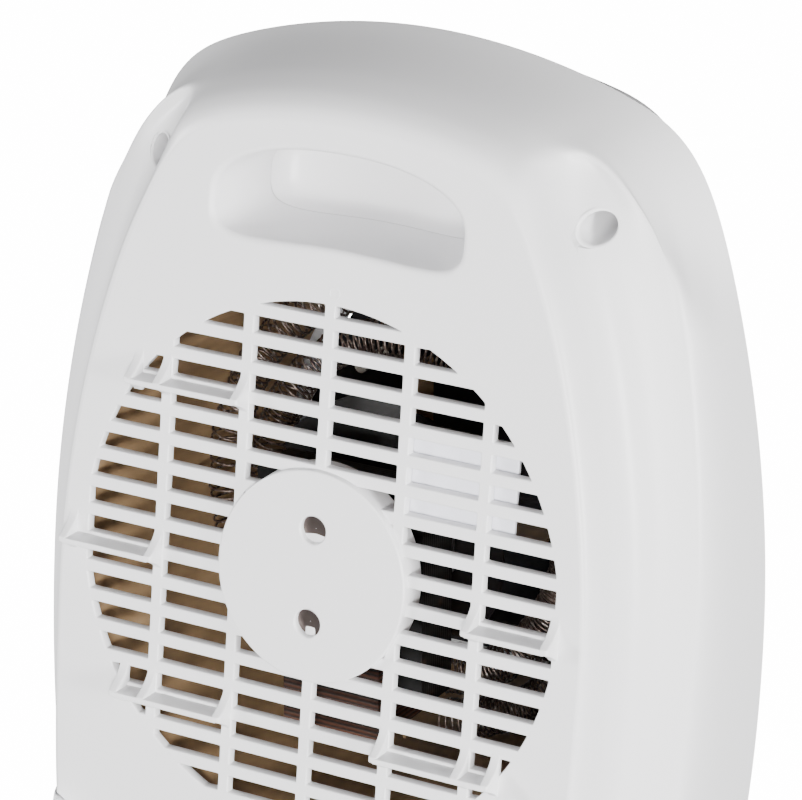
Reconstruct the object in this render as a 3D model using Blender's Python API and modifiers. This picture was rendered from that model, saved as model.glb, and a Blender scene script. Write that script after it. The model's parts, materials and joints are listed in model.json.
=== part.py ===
"""Upright fan convector heater: two moulded shells round an air duct, a shaded-pole motor with its fan,
a wire element on mica boards, two rotary controls, and a base. Metres, +Z up, the front faces -Y,
and the origin lies on the floor under the middle of the heater."""

from math import cos, pi, radians, sin, sqrt, tan

import bmesh
import bpy
import numpy as np
from mathutils import Matrix, Vector

# Driving dimensions
PITCH = 0.0075  # rear grille: height of one slat and one gap
AXIS_HEIGHT = 0.1245  # fan axis above the floor
WALL = 0.0024  # moulded wall
GAP = 0.0003  # between pieces that touch
RUNNING = 0.0001  # radial clearance of a turning shaft
LEAN = radians(7.0)  # the rear face leans forward towards its top

REAR_DEPTH = 0.0562  # rear face to parting plane, on the fan axis
FRONT_DEPTH = 0.0412  # parting plane to front face
KNOB_REACH = 0.0130  # knob in front of the front face
LEDGE_REACH = 0.0055  # spacer ledge behind the rear face
CORD_X = -0.0450  # gland of the supply cord, low in the rear face
CORD_Z = AXIS_HEIGHT - 0.0985  # clear above the base
CORD_HOLE = 0.0056
GLAND_PROUD = 0.0028

# The gland and the knobs are the ends of the box, and the origin is midway between them.
GLAND_END = REAR_DEPTH + (AXIS_HEIGHT - CORD_Z) * tan(LEAN) + GLAND_PROUD
KNOB_END = FRONT_DEPTH + KNOB_REACH
PARTING_Y = (KNOB_END - GLAND_END) / 2
REAR_Y = PARTING_Y + REAR_DEPTH
FRONT_Y = PARTING_Y - FRONT_DEPTH

# Barrel outlines round the fan axis: widest half-width and its height, the bow radii of the sides above
# and below it, the top and bottom, the radius of the arched top, and the power that rounds the corners
RIM = dict(wide=0.0975, at=-0.012, bow_up=0.34, bow_down=0.48, top=0.1275, bottom=0.1125, arch=0.161, power=16)
FACE = dict(wide=0.0761, at=-0.015, bow_up=0.27, bow_down=0.90, top=0.1118, bottom=0.1045, arch=0.161, power=10)
NOSE = dict(wide=0.0668, at=-0.012, bow_up=0.34, bow_down=0.48, top=0.1065, bottom=0.1030, arch=0.161, power=12)
SIDES = 48  # straight stretches round an outline

# Rear grille
GRILLE_RADIUS = 0.0684
BAR_PITCH = 3.065 * PITCH
BAR_WIDTH = 0.0029
SLOT_HEIGHT = 0.58 * PITCH
HUB_RADIUS = 0.0270  # the disc that carries the motor
HUB_PROUD = 0.0018
HUB_DEPTH = 0.0075
LEDGE_THICK = 0.0016
FIN_THICK = 0.0024

# Grip recess
GRIP_HALF_WIDTH = 0.0352
GRIP_HALF_HEIGHT = 0.0116
GRIP_HEIGHT = 0.0937  # middle of the recess above the fan axis
GRIP_BEND = 0.285  # twice the radius that the recess is bent to
GRIP_POWER = 3.2
GRIP_DEPTH = 0.0240
GRIP_CUP_DEPTH = 0.0070

# Screws through the channels
TOP_POST = (0.0625, 0.0929)  # sideways, above the fan axis
LOW_POST = (0.0740, -0.0790)
POST_RADIUS = 0.0056
POST_BORE = 0.0038
SCREW_RADIUS = 0.0016
SCREW_HEAD = 0.0034
SCREW_HOLE = 0.0020
POST_FLOOR = 0.0030

# Air path
DUCT_REAR_RADIUS = 0.0715
DUCT_FRONT_RADIUS = 0.0628
DUCT_WALL = 0.0010
DUCT_START = 0.0006  # behind the rear wall
DUCT_SETBACK = 0.0069  # behind the front face
FRONT_GRILLE_RADIUS = 0.0600
LINER_WALL = 0.0006

# Motor and fan, as depths behind the rear face on the axis
SHAFT_RADIUS = 0.0020
ROTOR_RADIUS = 0.0120
STACK_START = 0.0125
STACK_DEPTH = 0.0150
MOTOR_SCREW_SPACING = 0.0240
FAN_START = 0.0335
FAN_DEPTH = 0.0100
FAN_RADIUS = 0.0350
FAN_HUB_RADIUS = 0.0095
BLADES = 5
CLIP_RADIUS = 0.0055

# Element
COIL_DEPTH = 0.0520
COIL_TURN_RADIUS = 0.0048
WIRE_RADIUS = 0.00045
COIL_RINGS = {"heating_coil_outer": (0.0590, 24), "heating_coil_inner": (0.0455, 18)}
MICA_THICK = 0.0010
MICA_START = 0.0455
MICA_END = 0.0590

# Controls on the front
CONTROL_X = 0.0310
CONTROL_HEIGHT = 0.0830  # above the fan axis
KNOB_RADIUS = 0.0130
KNOB_SHAFT = 0.0030

# Base
BASE_TOP = AXIS_HEIGHT - RIM["bottom"] - GAP
FOOT_HEIGHT = 0.0025
BASE_HALF_X = 0.0800
BASE_HALF_Y = 0.0555
FOOT_X = 0.0620
FOOT_Y = 0.0400

COLOURS = {
    "white_plastic": ((0.86, 0.86, 0.87), 0.45, 0.0),
    "label_white": ((0.84, 0.84, 0.89), 0.5, 0.0),
    "black_plastic": ((0.02, 0.02, 0.022), 0.4, 0.0),
    "fan_plastic": ((0.035, 0.022, 0.018), 0.3, 0.0),
    "dark_steel": ((0.09, 0.08, 0.075), 0.4, 0.9),
    "steel": ((0.6, 0.6, 0.6), 0.35, 1.0),
    "mica": ((0.30, 0.20, 0.11), 0.35, 0.2),
    "coil_wire": ((0.16, 0.12, 0.10), 0.3, 1.0),
    "winding": ((0.05, 0.04, 0.04), 0.6, 0.0),
    "rubber": ((0.03, 0.03, 0.03), 0.8, 0.0),
    "lens": ((0.85, 0.12, 0.05), 0.15, 0.0),
    "ceramic": ((0.80, 0.78, 0.72), 0.6, 0.0),
    "lead_brown": ((0.20, 0.08, 0.03), 0.5, 0.0),
    "lead_blue": ((0.05, 0.12, 0.45), 0.5, 0.0),
    "brass": ((0.70, 0.52, 0.22), 0.3, 1.0),
}

parts = bpy.data.collections.new("fan_convector_heater")
cutters = bpy.data.collections.new("cutters")


# Scene, materials and small tools


def start_scene():
    for obj in list(bpy.data.objects):
        bpy.data.objects.remove(obj, do_unlink=True)
    for collection in (parts, cutters):
        bpy.context.scene.collection.children.link(collection)


def material(slot):
    found = bpy.data.materials.get(slot)
    if found:
        return found
    colour, roughness, metallic = COLOURS[slot]
    made = bpy.data.materials.new(slot)
    made.use_nodes = True
    shader = made.node_tree.nodes["Principled BSDF"]
    shader.inputs["Base Color"].default_value = (*colour, 1)
    shader.inputs["Roughness"].default_value = roughness
    shader.inputs["Metallic"].default_value = metallic
    made.diffuse_color = (*colour, 1)
    return made


def add_part(name, mesh, slot, parent=None):
    """A visible piece. Round faces are shaded smooth."""
    obj = bpy.data.objects.new(name, mesh)
    parts.objects.link(obj)
    mesh.materials.append(material(slot))
    mesh.shade_smooth()
    mesh.set_sharp_from_angle(angle=radians(35))
    obj.parent = parent
    return obj


def add_cutter(name, mesh):
    obj = bpy.data.objects.new(name, mesh)
    cutters.objects.link(obj)
    obj.hide_render = True
    obj.display_type = "WIRE"
    return obj


def weld(obj):
    """Closes slivers that Booleans leave where two surfaces nearly meet."""
    modifier = obj.modifiers.new("weld", "WELD")
    modifier.merge_threshold = 0.00003


def combine(obj, other, operation):
    modifier = obj.modifiers.new(f"{operation.lower()} {other.name}", "BOOLEAN")
    modifier.operation = operation
    modifier.object = other
    modifier.solver = "MANIFOLD"


def mesh_of(name, *shapes):
    """One mesh holding the given shapes, each a function that adds to a bmesh."""
    bm = bmesh.new()
    for shape in shapes:
        shape(bm)
    bmesh.ops.recalc_face_normals(bm, faces=bm.faces)
    mesh = bpy.data.meshes.new(name)
    bm.to_mesh(mesh)
    bm.free()
    return mesh


def box(size, centre, turn=0.0):
    """A box, turned about the Y axis through its centre."""

    def add(bm):
        place = Matrix.Translation(centre) @ Matrix.Rotation(turn, 4, "Y") @ Matrix.Diagonal((*size, 1))
        bmesh.ops.create_cube(bm, size=1, matrix=place)

    return add


def rod(radius, start, end, x=0.0, z=0.0, sides=32, end_radius=None):
    """A cylinder or cone along Y from y=start to y=end."""

    def add(bm):
        place = Matrix.Translation((x, (start + end) / 2, z)) @ Matrix.Rotation(radians(-90), 4, "X")
        far = radius if end_radius is None else end_radius
        near_radius, far_radius = (radius, far) if end > start else (far, radius)
        bmesh.ops.create_cone(
            bm, cap_ends=True, segments=sides, radius1=near_radius, radius2=far_radius,
            depth=abs(end - start), matrix=place,
        )

    return add


def post(radius, start, end, x=0.0, y=0.0, sides=24):
    """A cylinder along Z."""

    def add(bm):
        place = Matrix.Translation((x, y, (start + end) / 2))
        bmesh.ops.create_cone(
            bm, cap_ends=True, segments=sides, radius1=radius, radius2=radius, depth=end - start, matrix=place
        )

    return add


def loft(rings):
    """A closed solid through rings of points, each an array of the same length, with flat ends."""

    def add(bm):
        rows = [[bm.verts.new(point) for point in ring] for ring in rings]
        count = len(rows[0])
        for near, far in zip(rows, rows[1:]):
            for i in range(count):
                j = (i + 1) % count
                bm.faces.new((near[i], near[j], far[j], far[i]))
        bm.faces.new(rows[0])
        bm.faces.new(rows[-1])

    return add


def turned(name, profile, slot, location, steps=32, axis="-Y", parent=None, closed=False):
    """A piece turned from (radius, height) points, which run down its outer side. Its height lies along axis."""
    bm = bmesh.new()
    verts = [bm.verts.new((radius, 0, height)) for radius, height in profile]
    pairs = list(zip(verts, verts[1:])) + ([(verts[-1], verts[0])] if closed else [])
    for pair in pairs:
        bm.edges.new(pair)
    mesh = bpy.data.meshes.new(name)
    bm.to_mesh(mesh)
    bm.free()
    obj = add_part(name, mesh, slot, parent)
    obj.location = location
    obj.rotation_euler = {"-Y": (radians(90), 0, 0), "+Y": (radians(-90), 0, 0), "+Z": (0, 0, 0)}[axis]
    screw = obj.modifiers.new("turn", "SCREW")
    screw.steps = screw.render_steps = steps
    screw.use_merge_vertices = True
    screw.merge_threshold = 0.00001
    return obj


def wire(name, points, radius, slot, resolution=2):
    """A round wire through points, with filled ends."""
    curve = bpy.data.curves.new(name, "CURVE")
    curve.dimensions = "3D"
    curve.bevel_depth = radius
    curve.bevel_resolution = resolution
    curve.use_fill_caps = True
    spline = curve.splines.new("POLY")
    spline.points.add(len(points) - 1)
    for target, point in zip(spline.points, points):
        target.co = (*point, 1)
    obj = bpy.data.objects.new(name, curve)
    parts.objects.link(obj)
    curve.materials.append(material(slot))
    return obj


def smooth_step(value):
    t = np.clip(value, 0, 1)
    return t * t * (3 - 2 * t)


# The shape of the body


def face_y(height):
    """Rear face at a height above the fan axis."""
    return REAR_Y - height * tan(LEAN)


def outline_radius(angle, wide, at, bow_up, bow_down, top, bottom, arch, power):
    """Distance from the fan axis to a barrel outline, at angles measured from straight up: the sides are
    bows, the top is an arch, and a superellipse joins them. Found by halving."""
    low, high = np.zeros_like(angle), np.full_like(angle, 0.25)
    for _ in range(40):
        middle = (low + high) / 2
        x, height = middle * np.sin(angle), middle * np.cos(angle)
        bow = np.where(height > at, bow_up, bow_down)
        side = np.maximum(wide - (height - at) ** 2 / (2 * bow), 0.01)
        end = np.where(height > 0, np.maximum(top - x**2 / (2 * arch), 0.01), bottom)
        inside = np.abs(x / side) ** power + np.abs(height / end) ** power < 1
        low, high = np.where(inside, middle, low), np.where(inside, high, middle)
    return low


# From the parting edge to the flat face: share of the way in, then depth behind the face. Depths over
# RIDGE run on to the parting plane. Down the sides a screw channel is scooped out inside the ridge.
SIDE_PROFILE = [
    (0.00, 1.00), (0.02, 0.50), (0.06, 0.18), (0.13, 0.0255), (0.24, 0.0233), (0.42, 0.0206), (0.60, 0.0180),
    (0.74, 0.0150), (0.84, 0.0100), (0.90, 0.0056), (0.95, 0.0024), (1.00, 0.0005), (1.06, 0.0),
]
RIDGE = 3  # the rings before this one are shares of the depth between the ridge and the parting plane
SHOULDER_PROFILE = [
    (0.00, 1.00), (0.10, 0.86), (0.20, 0.70), (0.30, 0.53), (0.40, 0.37), (0.50, 0.24), (0.58, 0.155),
    (0.66, 0.095), (0.74, 0.052), (0.82, 0.025), (0.90, 0.009), (0.97, 0.001), (1.06, 0.0),
]
CHANNEL_TOP = 0.1170  # where the channels fade out, above and below the fan axis
CHANNEL_TOP_X = 0.0540
CHANNEL_TOP_DROP = 36.0  # the channel's round top end, lower further out
CHANNEL_BOTTOM = -0.1020
CHANNEL_FADE = 0.0110
CHANNEL_SIDE_X = 0.0460  # no channel nearer the middle than this, across the top
CHANNEL_SIDE_FADE = 0.0120


def rear_rings():
    """Rings of the rear shell's outside, from the parting edge to the flat face."""
    angle = np.arange(SIDES) * 2 * pi / SIDES
    rim, face = outline_radius(angle, **RIM), outline_radius(angle, **FACE)
    rings = []
    for ring, ((side_share, side_depth), (top_share, top_depth)) in enumerate(zip(SIDE_PROFILE, SHOULDER_PROFILE)):
        radius = rim - (rim - face) * side_share
        x, height = radius * np.sin(angle), radius * np.cos(angle)
        end = CHANNEL_TOP - CHANNEL_TOP_DROP * np.maximum(np.abs(x) - CHANNEL_TOP_X, 0) ** 2
        channel = smooth_step((end - height) / CHANNEL_FADE) * smooth_step((height - CHANNEL_BOTTOM) / CHANNEL_FADE)
        channel = channel * smooth_step((np.abs(x) - CHANNEL_SIDE_X) / CHANNEL_SIDE_FADE)
        radius = rim - (rim - face) * (top_share + (side_share - top_share) * channel)
        x, height = radius * np.sin(angle), radius * np.cos(angle)
        full = face_y(height) - PARTING_Y
        if ring < RIDGE:
            ridge_depth = SIDE_PROFILE[RIDGE][1]
            side_depth = ridge_depth + (full - ridge_depth) * side_depth
        depth = top_depth * full + (side_depth - top_depth * full) * channel
        rings.append(np.stack([x, face_y(height) - depth, AXIS_HEIGHT + height], axis=1))
    return rings


# Front shell: share of the way in, then share of the way forward
FRONT_PROFILE = [
    (0.03, 0.00), (0.08, 0.06), (0.22, 0.24), (0.37, 0.42), (0.52, 0.60), (0.66, 0.76), (0.78, 0.88),
    (0.89, 0.965), (1.00, 1.0), (1.05, 1.0),
]


def front_rings():
    """Rings of the front shell's outside, from the parting edge to the flat nose."""
    angle = np.arange(SIDES) * 2 * pi / SIDES
    rim, nose = outline_radius(angle, **RIM), outline_radius(angle, **NOSE)
    rings = []
    for share, forward in FRONT_PROFILE:
        radius = rim - (rim - nose) * share
        y = np.full(SIDES, PARTING_Y - GAP - (FRONT_DEPTH - GAP) * forward)
        rings.append(np.stack([radius * np.sin(angle), y, AXIS_HEIGHT + radius * np.cos(angle)], axis=1))
    return rings


def inner_rings(rings, past):
    """The rings moved in by the wall, with a first ring at y=past so that the hollow is open there."""
    grid = np.array(rings)
    along = np.gradient(grid, axis=0)
    around = np.roll(grid, -1, axis=1) - np.roll(grid, 1, axis=1)
    normal = np.cross(along, around)
    normal /= np.linalg.norm(normal, axis=2, keepdims=True)
    # The middle of the heater lies inwards of every ring.
    middle = np.array([0, PARTING_Y, AXIS_HEIGHT])
    inward = np.sign(np.sum((middle - grid) * normal, axis=2, keepdims=True))
    inner = grid + normal * inward * WALL
    inner[0, :, 1] = grid[0, :, 1]
    inner[-1, :, 1] = grid[-1, :, 1] + WALL * np.sign(PARTING_Y - grid[-1, :, 1])
    first = inner[0].copy()
    first[:, 1] = past
    return [first, *inner]


def shell(name, rings, past, keep, slot):
    """A hollow shell that is open at the parting plane. keep is what stays solid inside the hollow."""
    obj = add_part(name, mesh_of(name, loft(rings)), slot)
    hollow = add_cutter(f"{name}_hollow", mesh_of(f"{name}_hollow", loft(inner_rings(rings, past))))
    for number, shape in enumerate(keep):
        solid = add_cutter(f"{name}_keep_{number}", mesh_of(f"{name}_keep_{number}", shape))
        combine(hollow, solid, "DIFFERENCE")
    combine(obj, hollow, "DIFFERENCE")
    return obj


def grip_outline(grow, y, scale=1.0):
    """Ring of the grip recess: a rounded slot bent to an arch, grown by a distance. y may follow the height."""
    t = np.arange(32) * 2 * pi / 32
    across = np.sign(np.cos(t)) * np.abs(np.cos(t)) ** (2 / GRIP_POWER) * (GRIP_HALF_WIDTH * scale + grow)
    up = np.sign(np.sin(t)) * np.abs(np.sin(t)) ** (2 / GRIP_POWER) * (GRIP_HALF_HEIGHT * scale + grow)
    height = GRIP_HEIGHT + up - across**2 / GRIP_BEND
    y = y(height) if callable(y) else np.full(32, y)
    return np.stack([across, y, AXIS_HEIGHT + height], axis=1)


def slanted_disc(radius, proud, end, sides=40, x=0.0, height=0.0):
    """A rod along Y whose rear end stands proud of the leaning rear face all over."""
    t = np.arange(sides) * 2 * pi / sides
    across, up = x + radius * np.sin(t), height + radius * np.cos(t)
    rear = np.stack([across, face_y(up) + proud, AXIS_HEIGHT + up], axis=1)
    front = np.stack([across, np.full(sides, end), AXIS_HEIGHT + up], axis=1)
    return loft([rear, front])


# Enclosure


def screw_places():
    for name, (x, height) in (("top", TOP_POST), ("low", LOW_POST)):
        yield f"{name}_left", x, AXIS_HEIGHT + height
        yield f"{name}_right", -x, AXIS_HEIGHT + height


def grille_slots():
    """The openings of the rear grille, each a box, before the round edge and the hub trim them."""
    shapes = []
    length = BAR_PITCH - BAR_WIDTH
    for row in range(-9, 10):
        for column in range(-3, 3):
            centre = ((column + 0.5) * BAR_PITCH, REAR_Y, AXIS_HEIGHT + row * PITCH)
            shapes.append(box((length, 0.05, SLOT_HEIGHT), centre))
    return shapes


def ledge(side, height, near, far):
    """A spacer ledge on a slat, from near to far off the axis, with a fin at each end and at a bar between."""
    z = AXIS_HEIGHT + height
    root = face_y(height) - WALL / 2
    tip = face_y(height) + LEDGE_REACH
    thick = LEDGE_THICK / 2
    ends = [near, far]
    if near < 2 * BAR_PITCH - BAR_WIDTH < far:
        ends.append(2 * BAR_PITCH)

    def add(bm):
        shelf = (abs(far - near), tip - root, LEDGE_THICK)
        box(shelf, (side * (near + far) / 2, (root + tip) / 2, z))(bm)

    def fin(x):
        half = FIN_THICK / 2
        above, below = 0.95 * PITCH, 0.5 * PITCH
        end = tip - thick
        corners = [(root, z + above), (face_y(height), z + above), (end, z + thick / 2), (end, z - thick / 2)]
        corners += [(face_y(height), z - below), (root, z - below)]
        rings = [np.array([(side * x + shift, y, up) for y, up in corners]) for shift in (-half, half)]
        return loft(rings)

    return [add, *(fin(x) for x in ends)]


LEDGES = [  # side, height in slats, inner and outer end in bars from the axis
    (1, 5.5, 1, 7.27), (1, -0.5, 2, 9.6), (1, -5.5, 1, 7.27), (-1, -0.5, 2, 9.05), (-1, -5.5, 1, 7.27),
]


def make_rear_shell():
    outside = REAR_Y + 0.02
    keep = [loft([grip_outline(WALL, outside), grip_outline(WALL * 0.7, lambda h: face_y(h) - GRIP_DEPTH, 0.95)])]
    for _, x, z in screw_places():
        keep.append(rod(POST_RADIUS, outside, PARTING_Y, x=x, z=z, sides=16))
    past = PARTING_Y - 0.01
    obj = shell("rear_shell", rear_rings(), past, keep, "white_plastic")

    slots = add_cutter("grille_slots", mesh_of("grille_slots", *grille_slots()))
    field = rod(GRILLE_RADIUS, REAR_Y - 0.03, REAR_Y + 0.03, z=AXIS_HEIGHT, sides=64)
    combine(slots, add_cutter("grille_field", mesh_of("grille_field", field)), "INTERSECT")
    clear = rod(HUB_RADIUS - 0.001, REAR_Y - 0.04, REAR_Y + 0.04, z=AXIS_HEIGHT, sides=40)
    combine(slots, add_cutter("hub_field", mesh_of("hub_field", clear)), "DIFFERENCE")
    combine(obj, slots, "DIFFERENCE")
    hub = add_cutter("rear_hub", mesh_of("rear_hub", slanted_disc(HUB_RADIUS, HUB_PROUD, REAR_Y - HUB_DEPTH)))
    combine(obj, hub, "UNION")

    for number, (side, row, inner, outer) in enumerate(LEDGES):
        pieces = ledge(side, row * PITCH, inner * BAR_PITCH, outer * PITCH)
        for index, piece in enumerate(pieces):
            name = f"ledge_{number}_{index}"
            combine(obj, add_cutter(name, mesh_of(name, piece)), "UNION")

    cuts = [loft([grip_outline(0.0, REAR_Y + 0.02), grip_outline(0.0, lambda h: face_y(h) - GRIP_DEPTH - 0.01, 0.93)])]
    # The hub is a cup, with two tubes for the motor screws left standing in it.
    cup = rod(HUB_RADIUS - WALL, REAR_Y - WALL, REAR_Y - 0.02, z=AXIS_HEIGHT, sides=32)
    cup_cut = add_cutter("hub_cup", mesh_of("hub_cup", cup))
    for number, z in enumerate(motor_screw_heights()):
        tube = rod(0.0046, REAR_Y + 0.01, REAR_Y - 0.03, z=z, sides=16)
        combine(cup_cut, add_cutter(f"motor_tube_{number}", mesh_of(f"motor_tube_{number}", tube)), "DIFFERENCE")
        cuts.append(rod(0.0031, REAR_Y + 0.02, REAR_Y - HUB_DEPTH + 0.002, z=z, sides=16))
    combine(obj, cup_cut, "DIFFERENCE")
    for _, x, z in screw_places():
        cuts.append(rod(POST_BORE, PARTING_Y + 0.06, PARTING_Y + POST_FLOOR, x=x, z=z, sides=16))
    cuts.append(rod(CORD_HOLE, PARTING_Y + 0.04, REAR_Y + 0.04, x=CORD_X, z=CORD_Z, sides=16))
    for number, cut in enumerate(cuts):
        combine(obj, add_cutter(f"rear_cut_{number}", mesh_of(f"rear_cut_{number}", cut)), "DIFFERENCE")
    shanks = [rod(0.0019, REAR_Y + 0.02, REAR_Y - 0.03, z=z, sides=10) for z in motor_screw_heights()]
    shanks += [
        rod(SCREW_HOLE, PARTING_Y + POST_FLOOR + 0.002, PARTING_Y - 0.002, x=x, z=z, sides=10)
        for _, x, z in screw_places()
    ]
    combine(obj, add_cutter("rear_shank_holes", mesh_of("rear_shank_holes", *shanks)), "DIFFERENCE")
    weld(obj)


def motor_screw_heights():
    return [AXIS_HEIGHT + side * MOTOR_SCREW_SPACING / 2 for side in (1, -1)]


def make_front_shell():
    keep = []
    cuts = [rod(FRONT_GRILLE_RADIUS + GAP, PARTING_Y, FRONT_Y - 0.01, z=AXIS_HEIGHT, sides=40)]
    for _, x, z in screw_places():
        keep.append(rod(0.0046, PARTING_Y - GAP, FRONT_Y - 0.01, x=x, z=z, sides=12))
        cuts.append(rod(SCREW_RADIUS + GAP, PARTING_Y + 0.01, PARTING_Y - 0.0150, x=x, z=z, sides=10))
    obj = shell("front_shell", front_rings(), PARTING_Y + 0.01, keep, "white_plastic")
    for x in (CONTROL_X, -CONTROL_X):
        cuts.append(rod(KNOB_SHAFT + 2 * GAP, FRONT_Y - 0.01, FRONT_Y + 0.01, x=x, z=CONTROL_Z, sides=24))
    cuts.append(rod(LENS_RADIUS + GAP, FRONT_Y - 0.01, FRONT_Y + 0.01, z=CONTROL_Z, sides=24))
    combine(obj, add_cutter("front_cuts", mesh_of("front_cuts", *cuts)), "DIFFERENCE")


CONTROL_Z = AXIS_HEIGHT + CONTROL_HEIGHT
LENS_RADIUS = 0.0035


def make_front_grille():
    """Round insert with slanted-looking louvres between two ribs and a rim that laps over the shell."""
    lip = 0.0035
    name = "front_grille"
    rim = [rod(FRONT_GRILLE_RADIUS, FRONT_Y + 0.0040, FRONT_Y - 0.0012, z=AXIS_HEIGHT, sides=40)]
    obj = add_part(name, mesh_of(name, *rim), "white_plastic")
    flange = rod(FRONT_GRILLE_RADIUS + lip, FRONT_Y - GAP, FRONT_Y - 0.0022, z=AXIS_HEIGHT, sides=40)
    combine(obj, add_cutter("grille_flange", mesh_of("grille_flange", flange)), "UNION")
    slots = []
    half_rows = int((FRONT_GRILLE_RADIUS - 0.004) / PITCH)
    bar_pitch = 0.0300
    for row in range(-half_rows, half_rows + 1):
        for column in (-1.5, -0.5, 0.5, 1.5):
            centre = (column * bar_pitch, FRONT_Y, AXIS_HEIGHT + row * PITCH)
            slots.append(box((bar_pitch - 0.0026, 0.03, 0.0050), centre))
    cutter = add_cutter("front_slots", mesh_of("front_slots", *slots))
    field = rod(FRONT_GRILLE_RADIUS - 0.0030, FRONT_Y - 0.02, FRONT_Y + 0.02, z=AXIS_HEIGHT, sides=40)
    combine(cutter, add_cutter("front_field", mesh_of("front_field", field)), "INTERSECT")
    combine(obj, cutter, "DIFFERENCE")


def make_grip_cup():
    """Dished wall that closes the inner end of the grip recess."""
    rings = []
    for scale, depth in ((1.0, 0.0), (0.97, 0.35), (0.88, 0.7), (0.70, 0.92), (0.40, 1.0)):
        y = (lambda share: lambda h: face_y(h) - GRIP_DEPTH - GAP - GRIP_CUP_DEPTH * share)(depth)
        rings.append(grip_outline(0.0, y, scale * 0.95))
    wall = 0.0016
    back = [ring + np.array([0, -wall, 0]) for ring in rings]
    rim = grip_outline(wall, lambda h: face_y(h) - GRIP_DEPTH - GAP, 0.95)
    rim_back = rim + np.array([0, -wall, 0])

    def add(bm):
        rows = [[bm.verts.new(p) for p in ring] for ring in (*rings[::-1], rim, rim_back, *back[1:])]
        for near, far in zip(rows, rows[1:]):
            for i in range(len(near)):
                j = (i + 1) % len(near)
                bm.faces.new((near[i], near[j], far[j], far[i]))
        bm.faces.new(rows[0])
        bm.faces.new(rows[-1])

    add_part("grip_cup", mesh_of("grip_cup", add), "white_plastic")


def make_shield_plate():
    """Blank plate behind the slats at the upper right of the rear grille."""
    x0, x1 = -BAR_PITCH + BAR_WIDTH / 4, -7.0 * PITCH
    past_hub = sqrt(max((HUB_RADIUS + 2 * GAP) ** 2 - x0**2, 0))
    low, high = max(2.6 * PITCH, past_hub), 5.42 * PITCH
    near = WALL + GAP
    rings = []
    for depth in (near, near + 0.0012):
        corners = [(x0, low), (x1, low), (x1, high), (x0, high)]
        rings.append(np.array([(x, face_y(up) - depth, AXIS_HEIGHT + up) for x, up in corners]))
    add_part("shield_plate", mesh_of("shield_plate", loft(rings)), "label_white")


def make_base():
    t = np.arange(40) * 2 * pi / 40

    def outline(half_x, half_y, z):
        x = np.sign(np.cos(t)) * np.abs(np.cos(t)) ** 0.5 * half_x
        y = np.sign(np.sin(t)) * np.abs(np.sin(t)) ** 0.5 * half_y + BASE_Y
        return np.stack([x, y, np.full(40, z)], axis=1)

    low = FOOT_HEIGHT - 0.0005
    rings = [outline(BASE_HALF_X - inset, BASE_HALF_Y - inset, z) for inset, z in (
        (0.0012, low), (0, low + 0.0012), (0.0008, low + 0.006), (0.0035, BASE_TOP - 0.001), (0.0048, BASE_TOP))]
    obj = add_part("base_plate", mesh_of("base_plate", loft(rings)), "white_plastic")
    recess = [outline(BASE_HALF_X - 0.0035, BASE_HALF_Y - 0.0035, z) for z in (low - 0.01, BASE_TOP - 0.0030)]
    hollow = add_cutter("base_hollow", mesh_of("base_hollow", loft(recess)))
    for number, (x, y) in enumerate(foot_places()):
        pad = post(0.0085, low - 0.02, BASE_TOP, x, y)
        combine(hollow, add_cutter(f"foot_boss_{number}", mesh_of(f"foot_boss_{number}", pad)), "DIFFERENCE")
    combine(obj, hollow, "DIFFERENCE")
    holes = [post(SCREW_RADIUS + GAP, 0.0, 0.05, x, BASE_Y, sides=16) for x in BASE_SCREWS]
    holes += [post(0.0030, low - 0.01, low + 0.0040, x, y) for x, y in foot_places()]
    combine(obj, add_cutter("base_holes", mesh_of("base_holes", *holes)), "DIFFERENCE")
    for number, (x, y) in enumerate(foot_places(), 1):
        stem, pad = 0.0030 - GAP, 0.0075
        profile = [(0, low + 0.0034), (stem, low + 0.0034), (stem, low - GAP), (pad, low - GAP)]
        profile += [(pad, 0.0006), (pad - 0.0006, 0), (0, 0)]
        turned(f"rubber_foot_{number}", profile, "rubber", (x, y, 0), steps=14, axis="+Z")


BASE_Y = 0.0050
BASE_SCREWS = (-0.0300, 0.0300)


def foot_places():
    return [(side_x * FOOT_X, BASE_Y + side_y * FOOT_Y) for side_x in (1, -1) for side_y in (1, -1)]


def screw_profile(head, shank, length, head_height=0.0022):
    """Pan-head screw with a conical point, head upwards, with its seat at height 0."""
    edge = head_height * 0.35
    return [
        (0, head_height), (head * 0.75, head_height), (head, head_height - edge), (head, 0), (shank, 0),
        (shank, -length + shank), (0, -length),
    ]


def make_screws():
    for name, x, z in screw_places():
        seat = PARTING_Y + POST_FLOOR + GAP
        profile = screw_profile(SCREW_HEAD, SCREW_RADIUS, 0.0160)
        turned(f"shell_screw_{name}", profile, "steel", (x, seat, z), steps=12, axis="+Y")
    for name, z in zip(("upper", "lower"), motor_screw_heights()):
        seat = REAR_Y - HUB_DEPTH + 0.0020 + GAP
        profile = screw_profile(0.0028, SCREW_RADIUS, 0.0058, 0.0018)
        turned(f"motor_screw_{name}", profile, "steel", (0, seat, z), steps=12, axis="+Y")


# Motor and fan


def depth_y(depth):
    """Position on the fan axis of a depth behind the rear face."""
    return REAR_Y - depth


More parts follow.
